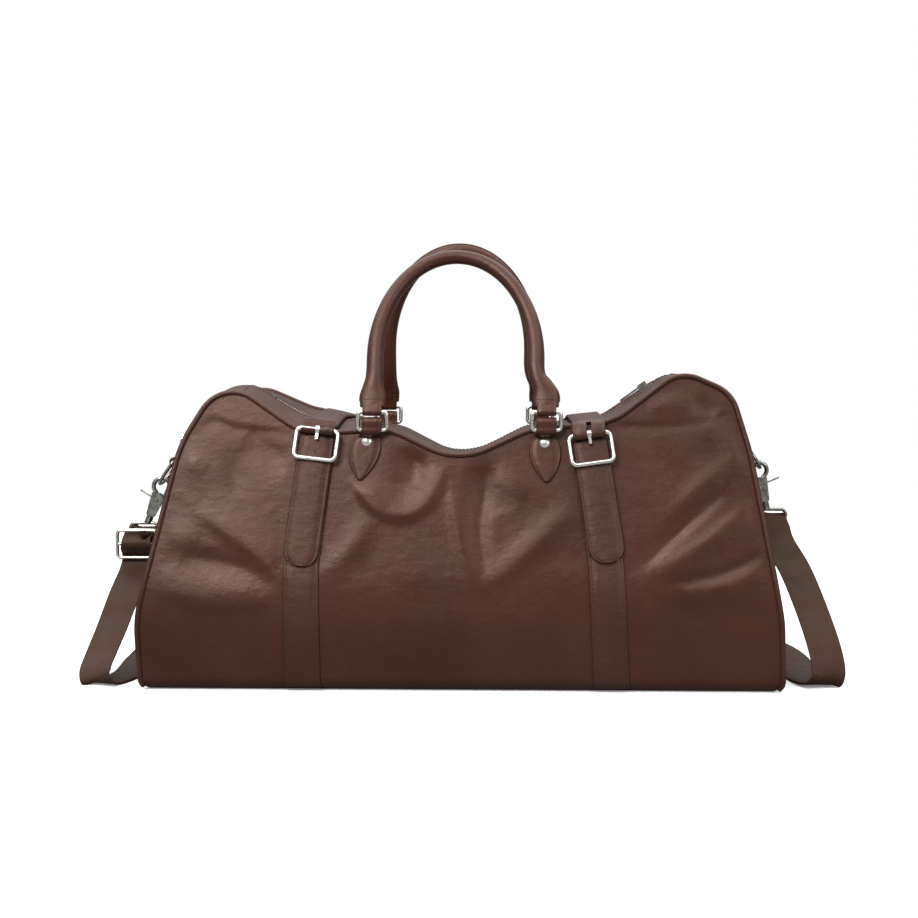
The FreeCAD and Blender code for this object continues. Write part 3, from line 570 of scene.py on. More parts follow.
# --- folds of the soft leather
# Each fold: points of its path (x, z), height, and how far it spreads to the left and to the
# right of the path.
FRONT_FOLDS = [
    ([(-95, 184), (-79, 158), (-60, 147), (-40, 149), (-25, 163), (-14, 188)], 4.2, 13, 5),
    ([(-43, 206), (-41, 187), (-44, 168)], -6.0, 12, 12),
    ([(-90, 176), (-75, 165), (-60, 156)], 1.8, 8, 8),
    ([(-226, 152), (-188, 127), (-163, 108), (-150, 96)], 3.4, 14, 7),
    ([(-240, 114), (-188, 104), (-156, 84)], -3.6, 8, 11),
    ([(-258, 88), (-212, 76), (-158, 77)], 3.6, 17, 8),
    ([(-242, 200), (-219, 181)], 1.6, 10, 9),
    ([(-252, 134), (-221, 123)], 2.0, 12, 12),
    ([(-238, 216), (-214, 226), (-191, 220), (-145, 216)], -1.3, 2.5, 7),
    ([(-187, 214), (-145, 190)], -3.0, 10, 15),
    ([(-196, 204), (-188, 160)], -2.0, 12, 10),
    ([(-76, 148), (-94, 118), (-119, 96)], 2.4, 11, 11),
    ([(-9, 170), (-4, 141), (4, 111), (19, 89)], 3.0, 14, 5),
    ([(22, 190), (15, 140), (18, 108), (26, 93)], -4.4, 7, 12),
    ([(22, 89), (50, 112), (80, 140), (99, 154)], 4.0, 12, 8),
    ([(16, 190), (30, 146)], -3.0, 14, 14),
    ([(28, 182), (58, 166)], 1.8, 10, 12),
    ([(178, 148), (203, 172), (232, 193)], 3.0, 9, 9),
    ([(148, 104), (188, 139), (220, 166)], -4.2, 10, 5),
    ([(160, 98), (206, 126), (248, 160)], 3.6, 7, 12),
    ([(168, 92), (215, 100), (256, 118)], -3.0, 5, 6),
    ([(184, 83), (220, 89), (255, 104)], 2.4, 8, 11),
    ([(160, 76), (260, 60)], -1.8, 12, 12),
    ([(100, 222), (128, 224), (153, 222), (189, 224), (232, 232)], -1.4, 2.5, 6),
    ([(156, 238), (198, 243)], 1.8, 8, 8),
    ([(198, 245), (216, 230)], -2.6, 8, 8),
    ([(220, 216), (244, 178)], 1.8, 10, 8),
    ([(108, 234), (140, 225)], -1.6, 4, 7),
    ([(-120, 60), (-20, 52), (90, 62)], 1.4, 26, 26),
    ([(-60, 90), (0, 76), (60, 84)], -1.4, 14, 16),
]
REAR_FOLDS = [
    ([(-230, 190), (-190, 150), (-160, 120)], 3.0, 12, 8),
    ([(-240, 150), (-200, 115), (-165, 95)], -3.0, 9, 12),
    ([(-80, 170), (-50, 150), (-20, 170)], 3.2, 6, 12),
    ([(-50, 205), (-45, 170)], -4.5, 13, 13),
    ([(0, 185), (10, 130), (-8, 95)], -3.6, 12, 8),
    ([(30, 175), (52, 130), (90, 105)], 3.0, 12, 9),
    ([(150, 150), (200, 130), (245, 140)], 3.0, 12, 7),
    ([(150, 112), (200, 98), (250, 104)], -2.8, 7, 9),
    ([(160, 205), (215, 190)], -2.2, 9, 12),
    ([(-235, 75), (-180, 66), (-150, 72)], 2.4, 12, 9),
    ([(-90, 60), (0, 52), (90, 60)], 1.8, 26, 26),
]
TOP_FOLDS = [
    ([(-60, -70), (-48, -20)], -2.2, 8, 8),
    ([(-30, -74), (-22, -14)], 2.0, 7, 7),
    ([(-6, -70), (-3, -12)], -2.6, 9, 9),
    ([(20, -72), (14, -16)], 2.0, 8, 8),
    ([(44, -70), (38, -20)], -1.8, 8, 8),
    ([(-52, 18), (-60, 72)], 2.0, 8, 8),
    ([(-8, 14), (0, 74)], -3.0, 10, 10),
    ([(24, 16), (30, 72)], 2.0, 8, 8),
    ([(150, -60), (158, 60)], -1.8, 9, 9),
    ([(-160, -60), (-150, 60)], -1.8, 9, 9),
]
END_FOLDS = [
    ([(-70, 210), (-40, 160), (-52, 110)], -4.0, 12, 9),
    ([(-20, 225), (-6, 150)], 2.6, 12, 10),
    ([(62, 205), (36, 150), (50, 95)], -4.0, 9, 12),
    ([(-90, 90), (-30, 72), (30, 76), (92, 96)], 3.0, 12, 8),
    ([(-80, 52), (0, 44), (80, 52)], -2.4, 9, 12),
]


# All folds are eased by this share of their height.
FOLD_RELIEF = 0.66


def fold_height(u, v, folds):
    """Sum of the folds at places u, v, eased by FOLD_RELIEF."""
    total = np.zeros_like(u)
    for path, height, left, right in folds:
        line = resample(spline(path, 8), 40)
        direction = normalised(np.gradient(line, axis=0))
        nearest = np.full(u.shape, 1e9)
        side = np.zeros_like(u)
        share = np.zeros_like(u)
        for k, (point, ahead) in enumerate(zip(line, direction)):
            du, dv = u - point[0], v - point[1]
            distance = np.hypot(du, dv)
            closer = distance < nearest
            nearest = np.where(closer, distance, nearest)
            side = np.where(closer, ahead[0] * dv - ahead[1] * du, side)
            share = np.where(closer, k / (len(line) - 1), share)
        width = np.where(side > 0, left, right)
        faded = np.sin(math.pi * np.clip(share, 0.02, 0.98)) ** 0.6
        total += height * np.exp(-(nearest / width) ** 2) * faded
    return FOLD_RELIEF * total


def edge_mask(x, z, run, reach=16.0):
    """0 at the panel's piping and base seam, rising to 1 further in."""
    right = run[:RIGHT_PEAK + 1]
    left = run[LEFT_PEAK:][::-1]
    top = run[RIGHT_PEAK:LEFT_PEAK + 1][::-1]
    to_right = np.interp(z, right[:, 1], right[:, 0]) - x
    to_left = x - np.interp(z, left[:, 1], left[:, 0])
    to_top = np.interp(x, top[:, 0], top[:, 1]) - z
    nearest = np.minimum(np.minimum(to_left, to_right), to_top)
    return smooth_step(nearest / reach) * smooth_step(z / 26)


def quiet_places(x, z):
    """Folds are held flat under the buckles, tongues and handle tabs."""
    mask = np.ones_like(x)
    for side in ("left", "right"):
        bx, bz, lean, _, tip, _ = STRAPS[side]
        centre = bx + math.tan(math.radians(lean)) * (bz - z)
        beside = smooth_step((np.abs(x - centre) - 13) / 14)
        above_tip = smooth_step((z - (bz - tip) + 6) / 20)
        mask *= 1 - 0.85 * (1 - beside) * above_tip
        tx, tz, _ = TABS[side]
        mask *= smooth_step((np.hypot((x - tx), (z - tz) * 0.7) - 10) / 12) * 0.9 + 0.1
    return mask


def face_point(x, up, end, lift=0.0):
    """A place on the front or rear panel: x, and the distance up the face from the base seam."""
    depth, z, out, rise = profile_at(up)
    folds = FRONT_FOLDS if end == "front" else REAR_FOLDS
    relief = fold_height(x, z, folds) * edge_mask(x, z, RUNS[end])
    if end == "front":
        relief = relief * quiet_places(x, z)
    relief = relief + lift
    return np.stack([x, SIGN[end] * (depth + out * relief), z + rise * relief], axis=-1)


# --- front and rear panels
ACROSS = 260
UPWARD = 130


def patch(end):
    """x and climb of a grid that fills the panel's outline."""
    run = RUNS[end]
    flat = np.column_stack([run[:, 0], climb(run[:, 1])])
    left = np.vstack([[run[-1][0], 0], flat[LEFT_PEAK:][::-1]])
    right = np.vstack([[run[0][0], 0], flat[:RIGHT_PEAK + 1]])
    top = resample(flat[RIGHT_PEAK:LEFT_PEAK + 1][::-1], ACROSS + 1)
    left, right = resample(left, UPWARD + 1), resample(right, UPWARD + 1)
    u = np.linspace(0, 1, ACROSS + 1)[None, :, None]
    v = np.linspace(0, 1, UPWARD + 1)[:, None, None]
    base = left[0] + (right[0] - left[0]) * u
    inner = (1 - v) * base + v * top[None] + (1 - u) * left[:, None] + u * right[:, None]
    corners = ((1 - u) * (1 - v) * left[0] + u * (1 - v) * right[0] + (1 - u) * v * left[-1]
               + u * v * right[-1])
    return inner - corners


def add_face_panel(end):
    grid = patch(end)
    points = face_point(grid[..., 0], grid[..., 1], end)
    flip = end == "rear"
    piece = add_grid(end + "_leather", points, BODY_LEATHER, flip)
    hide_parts(end + "_panel")
    inner = face_point(grid[::3, ::3, 0], grid[::3, ::3, 1], end, -LINING_DEPTH)
    lining = add_grid(end + "_lining", inner, LINING_CLOTH, flip)
    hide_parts("lining")


for end in ("front", "rear"):
    add_face_panel(end)


# --- ends and top
def rim_point(index, y):
    """A place on the ends or top: an index along the outline's run, and y."""
    share = np.cos(np.clip(np.abs(y) / CROWN_HALF_DEPTH, 0, 1) * math.pi / 2) ** 2
    places = np.arange(len(RUNS["front"]))
    at = {name: np.stack([np.interp(index, places, run[:, k]) for k in (0, 1)], axis=-1)
          for name, run in RUNS.items()}
    edge = np.where((y < 0)[..., None], at["front"], at["rear"])
    xz = edge + (at["centre"] - edge) * share[..., None]
    return np.stack([xz[..., 0], y, xz[..., 1]], axis=-1)


def run_index(x):
    """Index along the runs where the top of the centre outline has this x."""
    top = RUNS["centre"][RIGHT_PEAK:LEFT_PEAK + 1]
    return RIGHT_PEAK + np.interp(-x, -top[:, 0], np.arange(len(top)))


def rim_patch(start, stop, rows, low, high, columns, folds, sides):
    """A grid of points between two run indices and two y limits given as functions of the index."""
    index = np.linspace(start, stop, rows)[:, None] * np.ones((1, columns))
    share = np.linspace(0, 1, columns)[None, :]
    y = low(index) + (high(index) - low(index)) * share
    points = rim_point(index, y)
    normals = grid_normals(points)
    if sides:
        relief = fold_height(points[..., 1], points[..., 2], folds)
        relief = relief * smooth_step((points[..., 2]) / 40)
    else:
        relief = fold_height(points[..., 0], points[..., 1], folds)
    edge = smooth_step((share * (high(index) - low(index))) / 12)
    edge = edge * smooth_step(((1 - share) * (high(index) - low(index))) / 12)
    return points + normals * (relief * edge)[..., None], normals


def edge_y(end, index):
    """y of the piping at an index along the run."""
    run = RUNS[end]
    return SIGN[end] * face_depth(np.interp(index, np.arange(len(run)), run[:, 1]))


def front_edge(index):
    return edge_y("front", index)


def rear_edge(index):
    return edge_y("rear", index)


SEAM_LEFT = run_index(SEAM_LEFT_X)
SEAM_RIGHT = run_index(SEAM_RIGHT_X)
seam_lines = []


def add_end_panel(side):
    limits = (0, SEAM_RIGHT) if side == "right" else (SEAM_LEFT, len(RUNS["front"]) - 1)
    points, normals = rim_patch(*limits, 130, front_edge, rear_edge, 80, END_FOLDS, True)
    piece = add_grid(side + "_end_leather", points, BODY_LEATHER)
    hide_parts(side + "_end_panel")
    lining = add_grid(side + "_end_lining", (points - normals * LINING_DEPTH)[::3, ::3], LINING_CLOTH)
    row = -3 if side == "right" else 2
    seam_lines.append((points[row, 3:-3] + normals[row, 3:-3] * 0.1, normals[row, 3:-3]))


def slot_half(index):
    """Half the width of the gap over the zip, closing at its ends."""
    x = rim_point(index, np.zeros_like(index))[..., 0]
    inside = np.minimum(x - ZIP_LEFT_X, ZIP_RIGHT_X - x)
    return 0.15 + ZIP_SLOT_HALF * smooth_step(inside / 5)


def add_gusset(end):
    """Half of the top, whose edge beside the zip is folded under."""
    if end == "front":
        low, high = front_edge, lambda index: -slot_half(index)
    else:
        low, high = slot_half, rear_edge
    columns = 40
    points, normals = rim_patch(SEAM_RIGHT, SEAM_LEFT, 330, low, high, columns, TOP_FOLDS, False)
    lip = points[:, -1] if end == "front" else points[:, 0]
    lip_normal = normals[:, -1] if end == "front" else normals[:, 0]
    inward = np.array([0.0, -SIGN[end], 0.0])
    folded = [lip + inward * 0.5 - lip_normal * 0.5, lip + inward * 0.5 - lip_normal * 1.6,
              lip - inward * 0.6 - lip_normal * 2.2]
    if end == "front":
        points = np.concatenate([points, np.stack(folded, axis=1)], axis=1)
        beside = points[:, columns - 4], normals[:, columns - 4]
    else:
        points = np.concatenate([np.stack(folded[::-1], axis=1), points], axis=1)
        beside = points[:, 6], normals[:, 3]
    piece = add_grid(end + "_top_leather", points, BODY_LEATHER)
    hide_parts(end + "_zip_gusset")
    seam_lines.append((beside[0] + beside[1] * 0.1, beside[1]))


for side in ("left", "right"):
    add_end_panel(side)
for end in ("front", "rear"):
    add_gusset(end)
add_stitches("seam_stitches", seam_lines, THREAD_AND_HOLE_SHADE, "bag")


# --- piping
def piping_path(end):
    run = RUNS[end]
    path = np.column_stack([run[:, 0], SIGN[end] * face_depth(run[:, 1]), run[:, 1]])
    return resample(path[path[:, 2] > PIPING_FOOT_Z], 520)


for end in ("front", "rear"):
    path = piping_path(end)
    across = np.tile((0.0, 1.0, 0.0), (len(path), 1))
    size = np.full(len(path), PIPING_RADIUS)
    piece = tube(end + "_piping_cover", path, across, size, size, PIPING_LEATHER, "bag", 12)
    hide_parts(end + "_piping")


# --- zip
TOOTH_PITCH = 2.5


def zip_line(count):
    index = np.linspace(run_index(ZIP_RIGHT_X - 4), run_index(ZIP_LEFT_X + 4), count)
    return rim_point(index, np.zeros_like(index))


def add_tape(end):
    index = np.linspace(run_index(ZIP_RIGHT_X - 1), run_index(ZIP_LEFT_X + 1), 160)[:, None]
    span = (-13.0, -0.35) if end == "front" else (0.35, 13.0)
    y = np.linspace(*span, 8)[None, :] * np.ones_like(index)
    points = rim_point(index * np.ones_like(y), y)
    points = points - grid_normals(points) * 2.3
    piece = add_grid(end + "_tape_cloth", points, TAPE)
    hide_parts(end + "_zip_tape")


def add_teeth(end):
    """Teeth clamped on the tape's edge: a block with a rounded nose, one every pitch."""
    line = zip_line(600)
    along = lengths(line)
    shift = 0 if end == "front" else TOOTH_PITCH / 2
    places = np.arange(2 + shift, along[-1] - 2, TOOTH_PITCH)
    centre = at_places(places, along, line)
    ahead = normalised(at_places(places + 1, along, line) - at_places(places - 1, along, line))
    across = np.array([0.0, SIGN[end], 0.0])
    up = normalised(np.cross(ahead, across)) * -SIGN[end]
    up = np.where(up[:, 2:3] < 0, -up, up)
    shape = [(-0.55, -0.75), (-0.62, 1.2), (-0.62, 3.1), (0.62, 3.1), (0.62, 1.2), (0.55, -0.75)]
    vertices = []
    for low_high in (-2.15, -0.55, -0.25):
        shrink = 0.7 if low_high == -0.25 else 1.0
        for a, b in shape:
            vertices.append(centre + ahead * a * shrink + across * (1.2 + (b - 1.2) * shrink)
                            + up * low_high)
    stacked = np.stack(vertices, axis=1)
    ring = grid_faces(3, 6, close_columns=True) + [(12, 13, 14, 15, 16, 17)]
    faces = []
    for i in range(len(places)):
        faces.extend(tuple(i * 18 + v for v in face) for face in ring)
    piece = add_mesh(end + "_teeth", stacked.reshape(-1, 3), faces, ZIP_METAL, "bag")
    piece.data.polygons.foreach_set("use_smooth", [False] * len(piece.data.polygons))
    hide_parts(end + "_zip_teeth")


for end in ("front", "rear"):
    add_tape(end)
    add_teeth(end)


# --- straps, belts and tongues
HALF = STRAP_WIDTH / 2
COLUMNS = np.array([share for share, _ in SECTION])
STITCH_COLUMNS = (4, 11)
SEWN = 2.0
SEWN_LIFT = 0.05
FRONT_EDGE_Y = -84.0


def stitch_pair(over, normals, first=2, last=-2):
    """The two stitch lines of a strap, from its upper grid."""
    return [(over[first:last, column], normals[first:last, column]) for column in STITCH_COLUMNS]


def belt_centre(z, feet):
    return np.interp(z, (BELT_FOOT_Z, BELT_MID_Z, BELT_TOP_Z), feet)


def add_front_belt(side):
    feet = STRAPS[side][5]
    z = np.linspace(BELT_FOOT_Z, BELT_TOP_Z, 70)[:, None]
    x = belt_centre(z, feet) + COLUMNS[None, :] * HALF
    under = face_point(x, climb(z) * np.ones_like(x), "front", SEWN_LIFT)
    piece, over, normals = strap_solid(side + "_front_belt_leather", under, SEWN, STRAP_LEATHER, "bag")
    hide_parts(side + "_front_belt")
    add_stitches(side + "_belt_stitches", stitch_pair(over, normals), THREAD_AND_HOLE_SHADE, "bag")


FACE_TILT = math.atan2(1, FACE_SLOPE)
FACE_UP = np.array((0, math.cos(FACE_TILT), math.sin(FACE_TILT)))
FACE_OUT = np.array((0, -math.sin(FACE_TILT), math.cos(FACE_TILT)))


def on_face(x, z, lean, across, up, height):
    """A place given flat (across, up, height) beside a point of the sloping front."""
    angle = math.radians(lean)
    origin = np.array((x, -(KNEE_HALF_DEPTH - FACE_SLOPE * (z - KNEE_HEIGHT)), z))
    side = across * math.cos(angle) - up * math.sin(angle)
    rise = across * math.sin(angle) + up * math.cos(angle)
    return (origin + np.multiply.outer(side, np.array((1.0, 0, 0))) + np.multiply.outer(rise, FACE_UP)
            + np.multiply.outer(height, FACE_OUT))


def rounded_half(distance, half, radius):
    """Half width of a strap at a distance from its end, whose corners have this radius."""
    inside = np.clip(distance, 0, radius)
    return half - radius + np.sqrt(np.maximum(radius ** 2 - (radius - inside) ** 2, 0.01))


def add_tongue(side):
    x, z, lean, _, tip, _ = STRAPS[side]
    up = np.concatenate([TONGUE_TOP - 4 * (1 - np.cos(np.linspace(0, math.pi / 2, 7))),
                         np.linspace(TONGUE_TOP - 7, -tip + 16, 60),
                         -tip + 13 - 13 * np.sin(np.linspace(0.06, math.pi / 2, 14))])
    half = np.minimum(rounded_half(TONGUE_TOP - up, HALF, 4.0), rounded_half(up + tip, HALF, 13.0))
    across = COLUMNS[None, :] * half[:, None]
    swell = 0.7 * np.sin(np.clip((up + tip) / (tip + TONGUE_TOP), 0, 1) * math.pi)[:, None]
    height = (STRAP_GAP - 0.3 + swell * (1 - COLUMNS[None, :] ** 2)) * np.ones_like(across)
    under = on_face(x, z, lean, across[::-1], up[::-1, None] * np.ones_like(across), height)
    piece, over, normals = strap_solid(side + "_tongue_leather", under, STRAP, STRAP_LEATHER,
                                       side + "_strap")
    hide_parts(side + "_tongue")
    lines = stitch_pair(over, normals, 6, -6)
    lines.append((over[6, 4:12], normals[6, 4:12]))
    add_stitches(side + "_tongue_stitches", lines, THREAD_AND_HOLE_SHADE, side + "_strap")
    # Painted shade: the punched holes are dark discs laid on the tongue, not cut through it.
    add_hole_shade(side, over, up[::-1])


def add_hole_shade(side, over, up):
    """Two small punched holes, not cut but drawn as flat dark discs on the tongue: the outer ring stands for
    the dark cut edge, and the centre is painted shade for the hollow of each hole.
    """
    vertices, faces = [], []
    for place in (-6.0, -38.0):
        row = int(np.argmin(np.abs(up - place)))
        centre = (over[row, 7] + over[row, 8]) / 2 + FACE_OUT * 0.06
        base = len(vertices)
        for radius, sink in ((1.45, 0.0), (1.15, -0.05), (0.4, -0.03)):
            for k in range(14):
                angle = 2 * math.pi * k / 14
                vertices.append(centre + np.array((1.0, 0, 0)) * math.cos(angle) * radius
                                + FACE_UP * math.sin(angle) * radius + FACE_OUT * sink)
        faces.extend(grid_faces(3, 14, base, close_columns=True))
        faces.append(tuple(base + 28 + k for k in range(14)))
    # The discs take the thread's dark colour as painted shade for the holes' hollows.
    piece = add_mesh(side + "_tongue_hole_shade", vertices, faces, THREAD_AND_HOLE_SHADE, side + "_strap")


def strap_section(x, z_low, y_end, lift_low):
    """The loose strap's path over the top at one x: y, z pairs from the buckle to the back."""
    top = float(top_height(np.array(x), np.array(FRONT_EDGE_Y)))
    z = np.linspace(z_low, top - 2, 40)
    from_bar = (z - z_low) / 22
    lift = STRAP_GAP + (lift_low - STRAP_GAP) * (1 - smooth_step(from_bar))
    rise = FACE_OUT[2] * lift
    front = np.column_stack([-(face_depth(z)) - lift * abs(FACE_OUT[1]), z + rise])
    y = np.linspace(-face_depth(top) + 2, y_end, 60)
    over = np.column_stack([y, top_height(np.full_like(y, x), y) + STRAP_GAP])
    line = resample(np.vstack([front, over]), 150)
    kernel = np.ones(7) / 7
    padded = np.vstack([np.repeat(line[:1], 3, axis=0), line, np.repeat(line[-1:], 3, axis=0)])
    softened = np.stack([np.convolve(padded[:, k], kernel, "valid") for k in (0, 1)], axis=1)
    return softened


def add_top_strap(side):
    """The loose strap: round the buckle's upper bar, over the top and down to the sewn belt."""
    x, z, lean, top_x, _, _ = STRAPS[side]
    bar = BUCKLE_HEIGHT / 2
    wrap_angles = np.linspace(math.radians(-90), math.radians(90), 13)
    inner = BUCKLE_WIRE + 0.1
    columns = []
    for share in COLUMNS:
        across = share * (HALF - 1.0)
        tail = on_face(x, z, lean, np.full(4, across), np.linspace(bar + 9, bar + 2, 4),
                       np.full(4, BUCKLE_LIFT - inner))
        wrap = on_face(x, z, lean, np.full(13, across), bar - np.cos(wrap_angles) * inner,
                       BUCKLE_LIFT + np.sin(wrap_angles) * inner)
        start = on_face(x, z, lean, np.array([across]), np.array([bar + 1.5]),
                        np.array([BUCKLE_LIFT + inner]))[0]
        z_low = start[2] - FACE_OUT[2] * (BUCKLE_LIFT + inner)
        section = strap_section(top_x + across, z_low, HINGE_Y + 1.0, BUCKLE_LIFT + inner)
        share_up = smooth_step((section[:, 1] - section[0, 1]) / 34)
        end_x = top_x + share * HALF
        section_x = start[0] + (end_x - start[0]) * share_up
        body = np.column_stack([section_x, section])
        columns.append(np.vstack([tail, wrap, body]))
    under = np.stack(columns, axis=1)
    piece, over, normals = strap_solid(side + "_top_strap_leather", under, STRAP, STRAP_LEATHER,
                                       gap=(8, 24))
    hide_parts(side + "_top_strap")
    hinge = float(top_height(np.array(top_x), np.array(HINGE_Y))) * METRES
    stitches = add_stitches(side + "_top_strap_stitches", stitch_pair(over, normals, 22, -2), THREAD_AND_HOLE_SHADE)
    start = (top_x * METRES, (HINGE_Y - 7) * METRES, hinge)
    for part in (piece, stitches):
        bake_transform(part)


def add_rear_belt(side):
    """The belt sewn up the back, which rises over the piping to meet the loose strap."""
    feet = (STRAPS[side][5][0], STRAPS[side][3], STRAPS[side][3])
    columns = []
    for share in COLUMNS[::-1]:
        z = np.linspace(BELT_FOOT_Z, 205, 80)
        x = belt_centre(z, feet) + share * HALF
        lower = face_point(x, climb(z), "rear", SEWN_LIFT)
        top = float(top_height(np.array(x[-1]), np.array(HINGE_Y)))
        z = np.linspace(206, top - 2, 12)
        lift = SEWN_LIFT + (STRAP_GAP - SEWN_LIFT) * smooth_step((z - 206) / (top - 8 - 206))
        rising = np.column_stack([np.full(12, x[-1]), face_depth(z) + lift * 0.965, z + lift * 0.262])
        over = np.array([(x[-1], face_depth(top) + 1.5, top + STRAP_GAP - 0.6),
                         (x[-1], HINGE_Y + 1.6, top + STRAP_GAP)])
        columns.append(resample(np.vstack([lower, rising, over]), 110))
    under = np.stack(columns, axis=1)
    piece, over, normals = strap_solid(side + "_rear_belt_leather", under, SEWN, STRAP_LEATHER, "bag")
    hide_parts(side + "_rear_belt")
    add_stitches(side + "_rear_belt_stitches", stitch_pair(over, normals), THREAD_AND_HOLE_SHADE, "bag")


for side in ("left", "right"):
    add_front_belt(side)
    add_rear_belt(side)
    add_tongue(side)
    add_top_strap(side)


# --- handle tabs
# Half width of a tab at distances up it from its widest place; past the leaf it is a narrow neck.
LEAF = [(-21.0, 0.4), (-19.5, 2.4), (-16.0, 5.2), (-11.0, 8.6), (-5.0, 11.6), (1.0, 13.2), (6.0, 13.6),
        (11.0, 13.0), (14.5, 11.8), (16.5, 9.6), (18.5, 8.7), (90.0, 8.3)]


def tab_path():
    """Underside of a tab as depth and height: up the face, through the ring and down behind it."""
    z = np.linspace(174, 213, 31)
    leaf = np.column_stack([KNEE_HALF_DEPTH - FACE_SLOPE * (z - KNEE_HEIGHT) + 0.15, z])
    rise = np.array([(RING_Y - 2.6, RING_Z - 3.2), (RING_Y + 0.4, RING_Z - 2.3), (RING_Y + 2.2, RING_Z - 0.6),
                     (RING_Y + RING_WIRE + 0.15, RING_Z + 1.9), (RING_Y + RING_WIRE + 0.15, RING_Z + 5)])
    angles = np.linspace(0, math.pi, 11)
    over = np.column_stack([RING_Y + (RING_WIRE + 0.15) * np.cos(angles),
                            RING_Z + 7 + (RING_WIRE + 0.15) * np.sin(angles)])
    back = np.array([(RING_Y - RING_WIRE - 0.2, RING_Z + 2), (RING_Y - RING_WIRE - 1.0, RING_Z - 2.5)])
    return resample(spline(np.vstack([leaf[::3], rise, over[::2], back]), 10), 110)


def strip(centre, path, half, end):
    """Underside grid of a strap that lies across x, along a path of depths and heights."""
    order = COLUMNS if end == "front" else COLUMNS[::-1]
    across = order[None, :] * half[:, None]
    level = np.ones_like(across)
    return np.stack([centre + across, path[:, :1] * level, path[:, 1:] * level], axis=-1)


def add_tab(end, side):
    x, z, lean = TABS[side]
    path = tab_path()
    up = (path[:, 1] - z) / math.sin(FACE_TILT)
    highest = int(np.argmax(path[:, 1]))
    up[highest:] = 40.0
    leaf = np.array(LEAF)
    start = int(np.argmax(up > -20.9))
    path, up = path[start:], up[start:]
    half = np.interp(up, leaf[:, 0], leaf[:, 1])
    lean_x = x - np.tan(math.radians(lean)) * (path[:, 1] - z)
    centre = lean_x + (RING_X[side] - lean_x) * smooth_step((path[:, 1] - (RING_Z - 10)) / 14)
    centre[int(np.argmax(up == 40.0)):] = RING_X[side]
    under = strip(centre[:, None], path * (SIGN[end], 1), half, end)
    piece, over, normals = strap_solid(end + "_" + side + "_tab_leather", under, TAB, BODY_LEATHER, "bag")
    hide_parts(end + "_" + side + "_tab")
    last = int(np.argmax(up > 24))
    line = np.vstack([over[2:last, 4][::-1], over[2:last, 11]])
    normal = np.vstack([normals[2:last, 4][::-1], normals[2:last, 11]])
    add_stitches(end + "_" + side + "_tab_stitches", [(line, normal)], THREAD_AND_HOLE_SHADE, "bag",
                 pitch=2.3, length=1.8, radius=0.36)


for end in ("front", "rear"):
    for side in ("left", "right"):
        add_tab(end, side)


# --- handles
def lean_handle(points, end):
    """Turn handle points about the rings' upper bars, and send them to the front or the back."""
    angle = math.radians(HANDLE_LEAN[end])
    y, z = points[..., 1], points[..., 2] - (RING_Z + RING_HEIGHT)
    leaned = np.stack([points[..., 0], y * math.cos(angle) - z * math.sin(angle),
                       z * math.cos(angle) + y * math.sin(angle)], axis=-1)
    return np.stack([leaned[..., 0], SIGN[end] * (RING_Y + leaned[..., 1]),
                     leaned[..., 2] + RING_Z + RING_HEIGHT], axis=-1)


def handle_line():
    """Centre line of the handle at y = 0 before it leans, with its half width and half depth."""
    bar = RING_Z + RING_HEIGHT
    stations = []
    for side, sign in (("left", -1), ("right", 1)):
        leg = HANDLE_X + sign * HANDLE_HALF_SPAN
        foot = RING_X[side]
        stations.append([(foot, 0, bar + 5, 10.4, 3.3), (foot, 0, bar + 9, 10.8, 3.8),
                         (foot, 0, bar + 16, 10.9, 4.4), (foot + (leg - foot) * 0.3, 0, bar + 24, 9.0, 5.6),
                         (foot + (leg - foot) * 0.8, 0, bar + 32, 7.6, 6.6), (leg, 0, bar + 41, 7.2, 7.0)])
    arch = []
    for angle in np.linspace(180, 0, 25):
        a = math.radians(angle)
        thick = HANDLE_TUBE + 0.5 - 1.0 * math.sin(a)
        arch.append((HANDLE_X + HANDLE_HALF_SPAN * math.cos(a), 0, HANDLE_ARCH_Z + HANDLE_RISE * math.sin(a),
                     thick, thick))
    return spline(stations[0] + arch + stations[1][::-1], 6)


def add_handle(end):
    line = handle_line()
    points = line[:, :3]
    across = normalised(np.gradient(points, axis=0))
    across = np.stack([across[:, 2], np.zeros(len(across)), -across[:, 0]], axis=1)
    leaned = lean_handle(points, end)
    direction = lean_handle(points + across, end) - leaned
    piece = tube(end + "_handle_leather", leaned, direction, line[:, 3], line[:, 4], BODY_LEATHER,
                 end + "_handle", 28)
    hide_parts(end + "_handle")
    seam = lean_handle(points - across * (line[:, 3:4] - 0.15)
                       + np.array((0, -1.6, 0)), end)
    size = np.full(len(seam), 0.7)
    ridge = tube(end + "_handle_seam", seam[8:-8], direction[8:-8], size[8:-8], size[8:-8] * 0.8,
                 PIPING_LEATHER, end + "_handle", 8)
    lines = []
    for side in ("left", "right"):
        add_handle_wrap(end, side, lines)
    add_stitches(end + "_handle_stitches", lines, THREAD_AND_HOLE_SHADE, end + "_handle", pitch=2.6, length=2.0)


